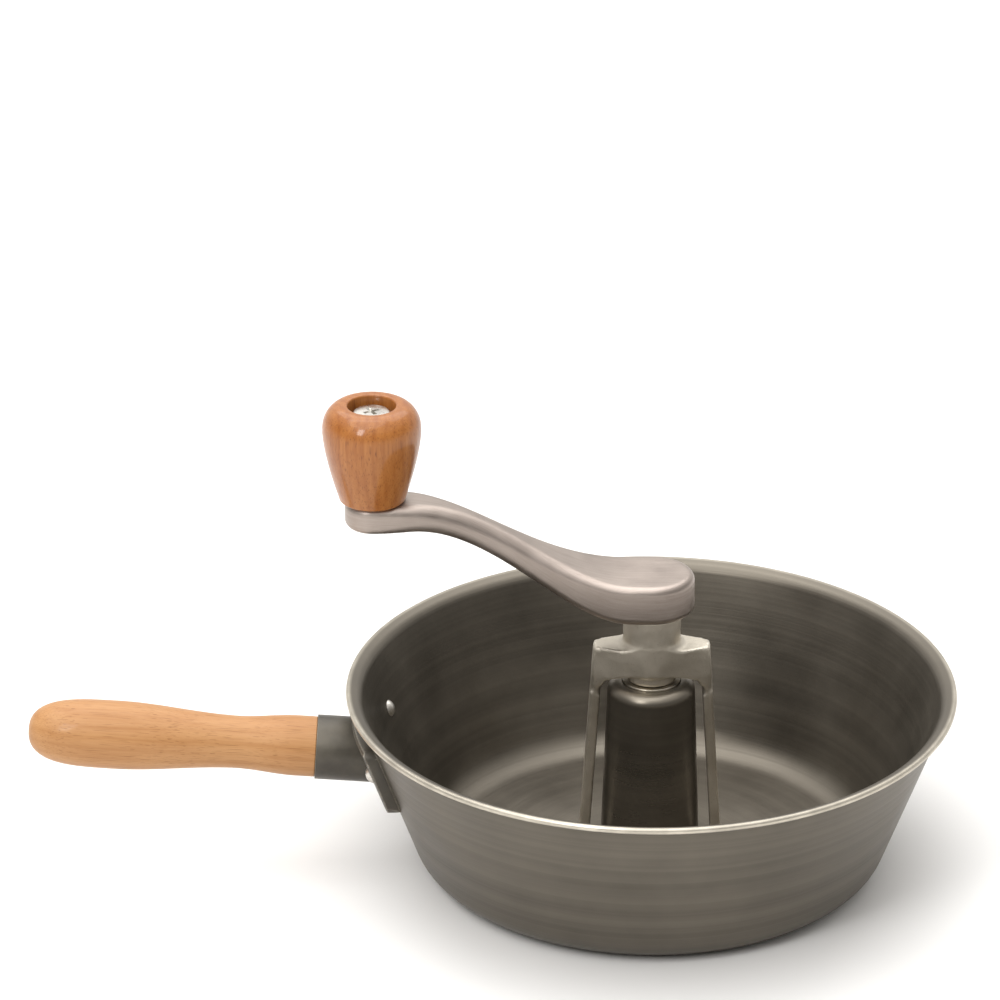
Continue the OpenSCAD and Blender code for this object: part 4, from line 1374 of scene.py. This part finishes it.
# %% Floor, lamps and sky
floor_finish = Finish("pale_floor", Roughness=0.75)
floor_finish.use(Base_Color=floor_finish.tint(floor_finish.blotches(0.6), (0.80, 0.79, 0.775),
                                              (0.83, 0.82, 0.805)))
floor_shell = bmesh.new()
bmesh.ops.create_circle(floor_shell, cap_ends=True, segments=96, radius=30.0)
floor = placed("floor", closed(floor_shell))
floor.data.materials.append(floor_finish.material)


def lamp(name, kind, energy, place, **settings):
    """A lamp that faces the object."""
    light = placed(name, bpy.data.lights.new(name, kind))
    light.data.energy = energy
    for key, value in settings.items():
        setattr(light.data, key, value)
    light.location = place
    facing = Vector(place) - Vector((0, 0, 0.08))
    light.rotation_euler = facing.to_track_quat("Z", "Y").to_euler()


lamp("overhead_box", "AREA", 13.0, (0.0, 0.75, 1.35), shape="RECTANGLE", size=1.8, size_y=1.2)
lamp("front_left_box", "AREA", 7.0, (-0.62, -0.95, 0.95), shape="RECTANGLE", size=0.3, size_y=0.6)
lamp("wide_sun", "SUN", 1.7, (-0.15, -0.1, 1.0), angle=radians(60))

world = bpy.data.worlds.new("sky")
scene.world = world
world.use_nodes = True
sky = Wiring(world.node_tree)
parts = sky.parts(sky.node("ShaderNodeTexCoord")["Generated"])
ramp = sky.node("ShaderNodeValToRGB", {"Fac": parts["Z"]})
stops = ramp.node.color_ramp.elements
stops[0].position, stops[0].color = 0.0, (0.70, 0.69, 0.67, 1)
stops[1].position, stops[1].color = 1.0, (1.0, 1.0, 1.0, 1)
for height, grey in ((0.07, 0.40), (0.15, 0.16), (0.42, 0.20), (0.62, 0.90)):
    stop = stops.new(height)
    stop.color = (grey, 0.98 * grey, 0.95 * grey, 1)
behind = sky.span(parts["Y"], 0.0, 0.6)
sky.feed(world.node_tree.nodes["Background"].inputs["Color"],
         sky.tint(behind, ramp, (0.90, 0.89, 0.87)))

# %% [markdown]
# ## The camera
#
# The object is seen from the front and a little above, through a long lens from well back, so
# its upright lines stay upright and the rim is an even oval. The camera looks at a point left of
# the drive axis, because the handle and the crank reach out that way.

# %% Set the camera
look_at = Vector((-60.6 * MM, 0, 158.3 * MM))
camera_distance = 2.4
camera_pitch = radians(24.9)
camera_data = bpy.data.cameras.new("camera")
camera_data.lens = 218.7
camera_data.sensor_width = 36
camera = placed("camera", camera_data)
back = Vector((0, -cos(camera_pitch), sin(camera_pitch)))
camera.location = look_at + back * camera_distance
camera.rotation_euler = back.to_track_quat("Z", "Y").to_euler()
scene.camera = camera
scene.view_settings.view_transform = "Standard"
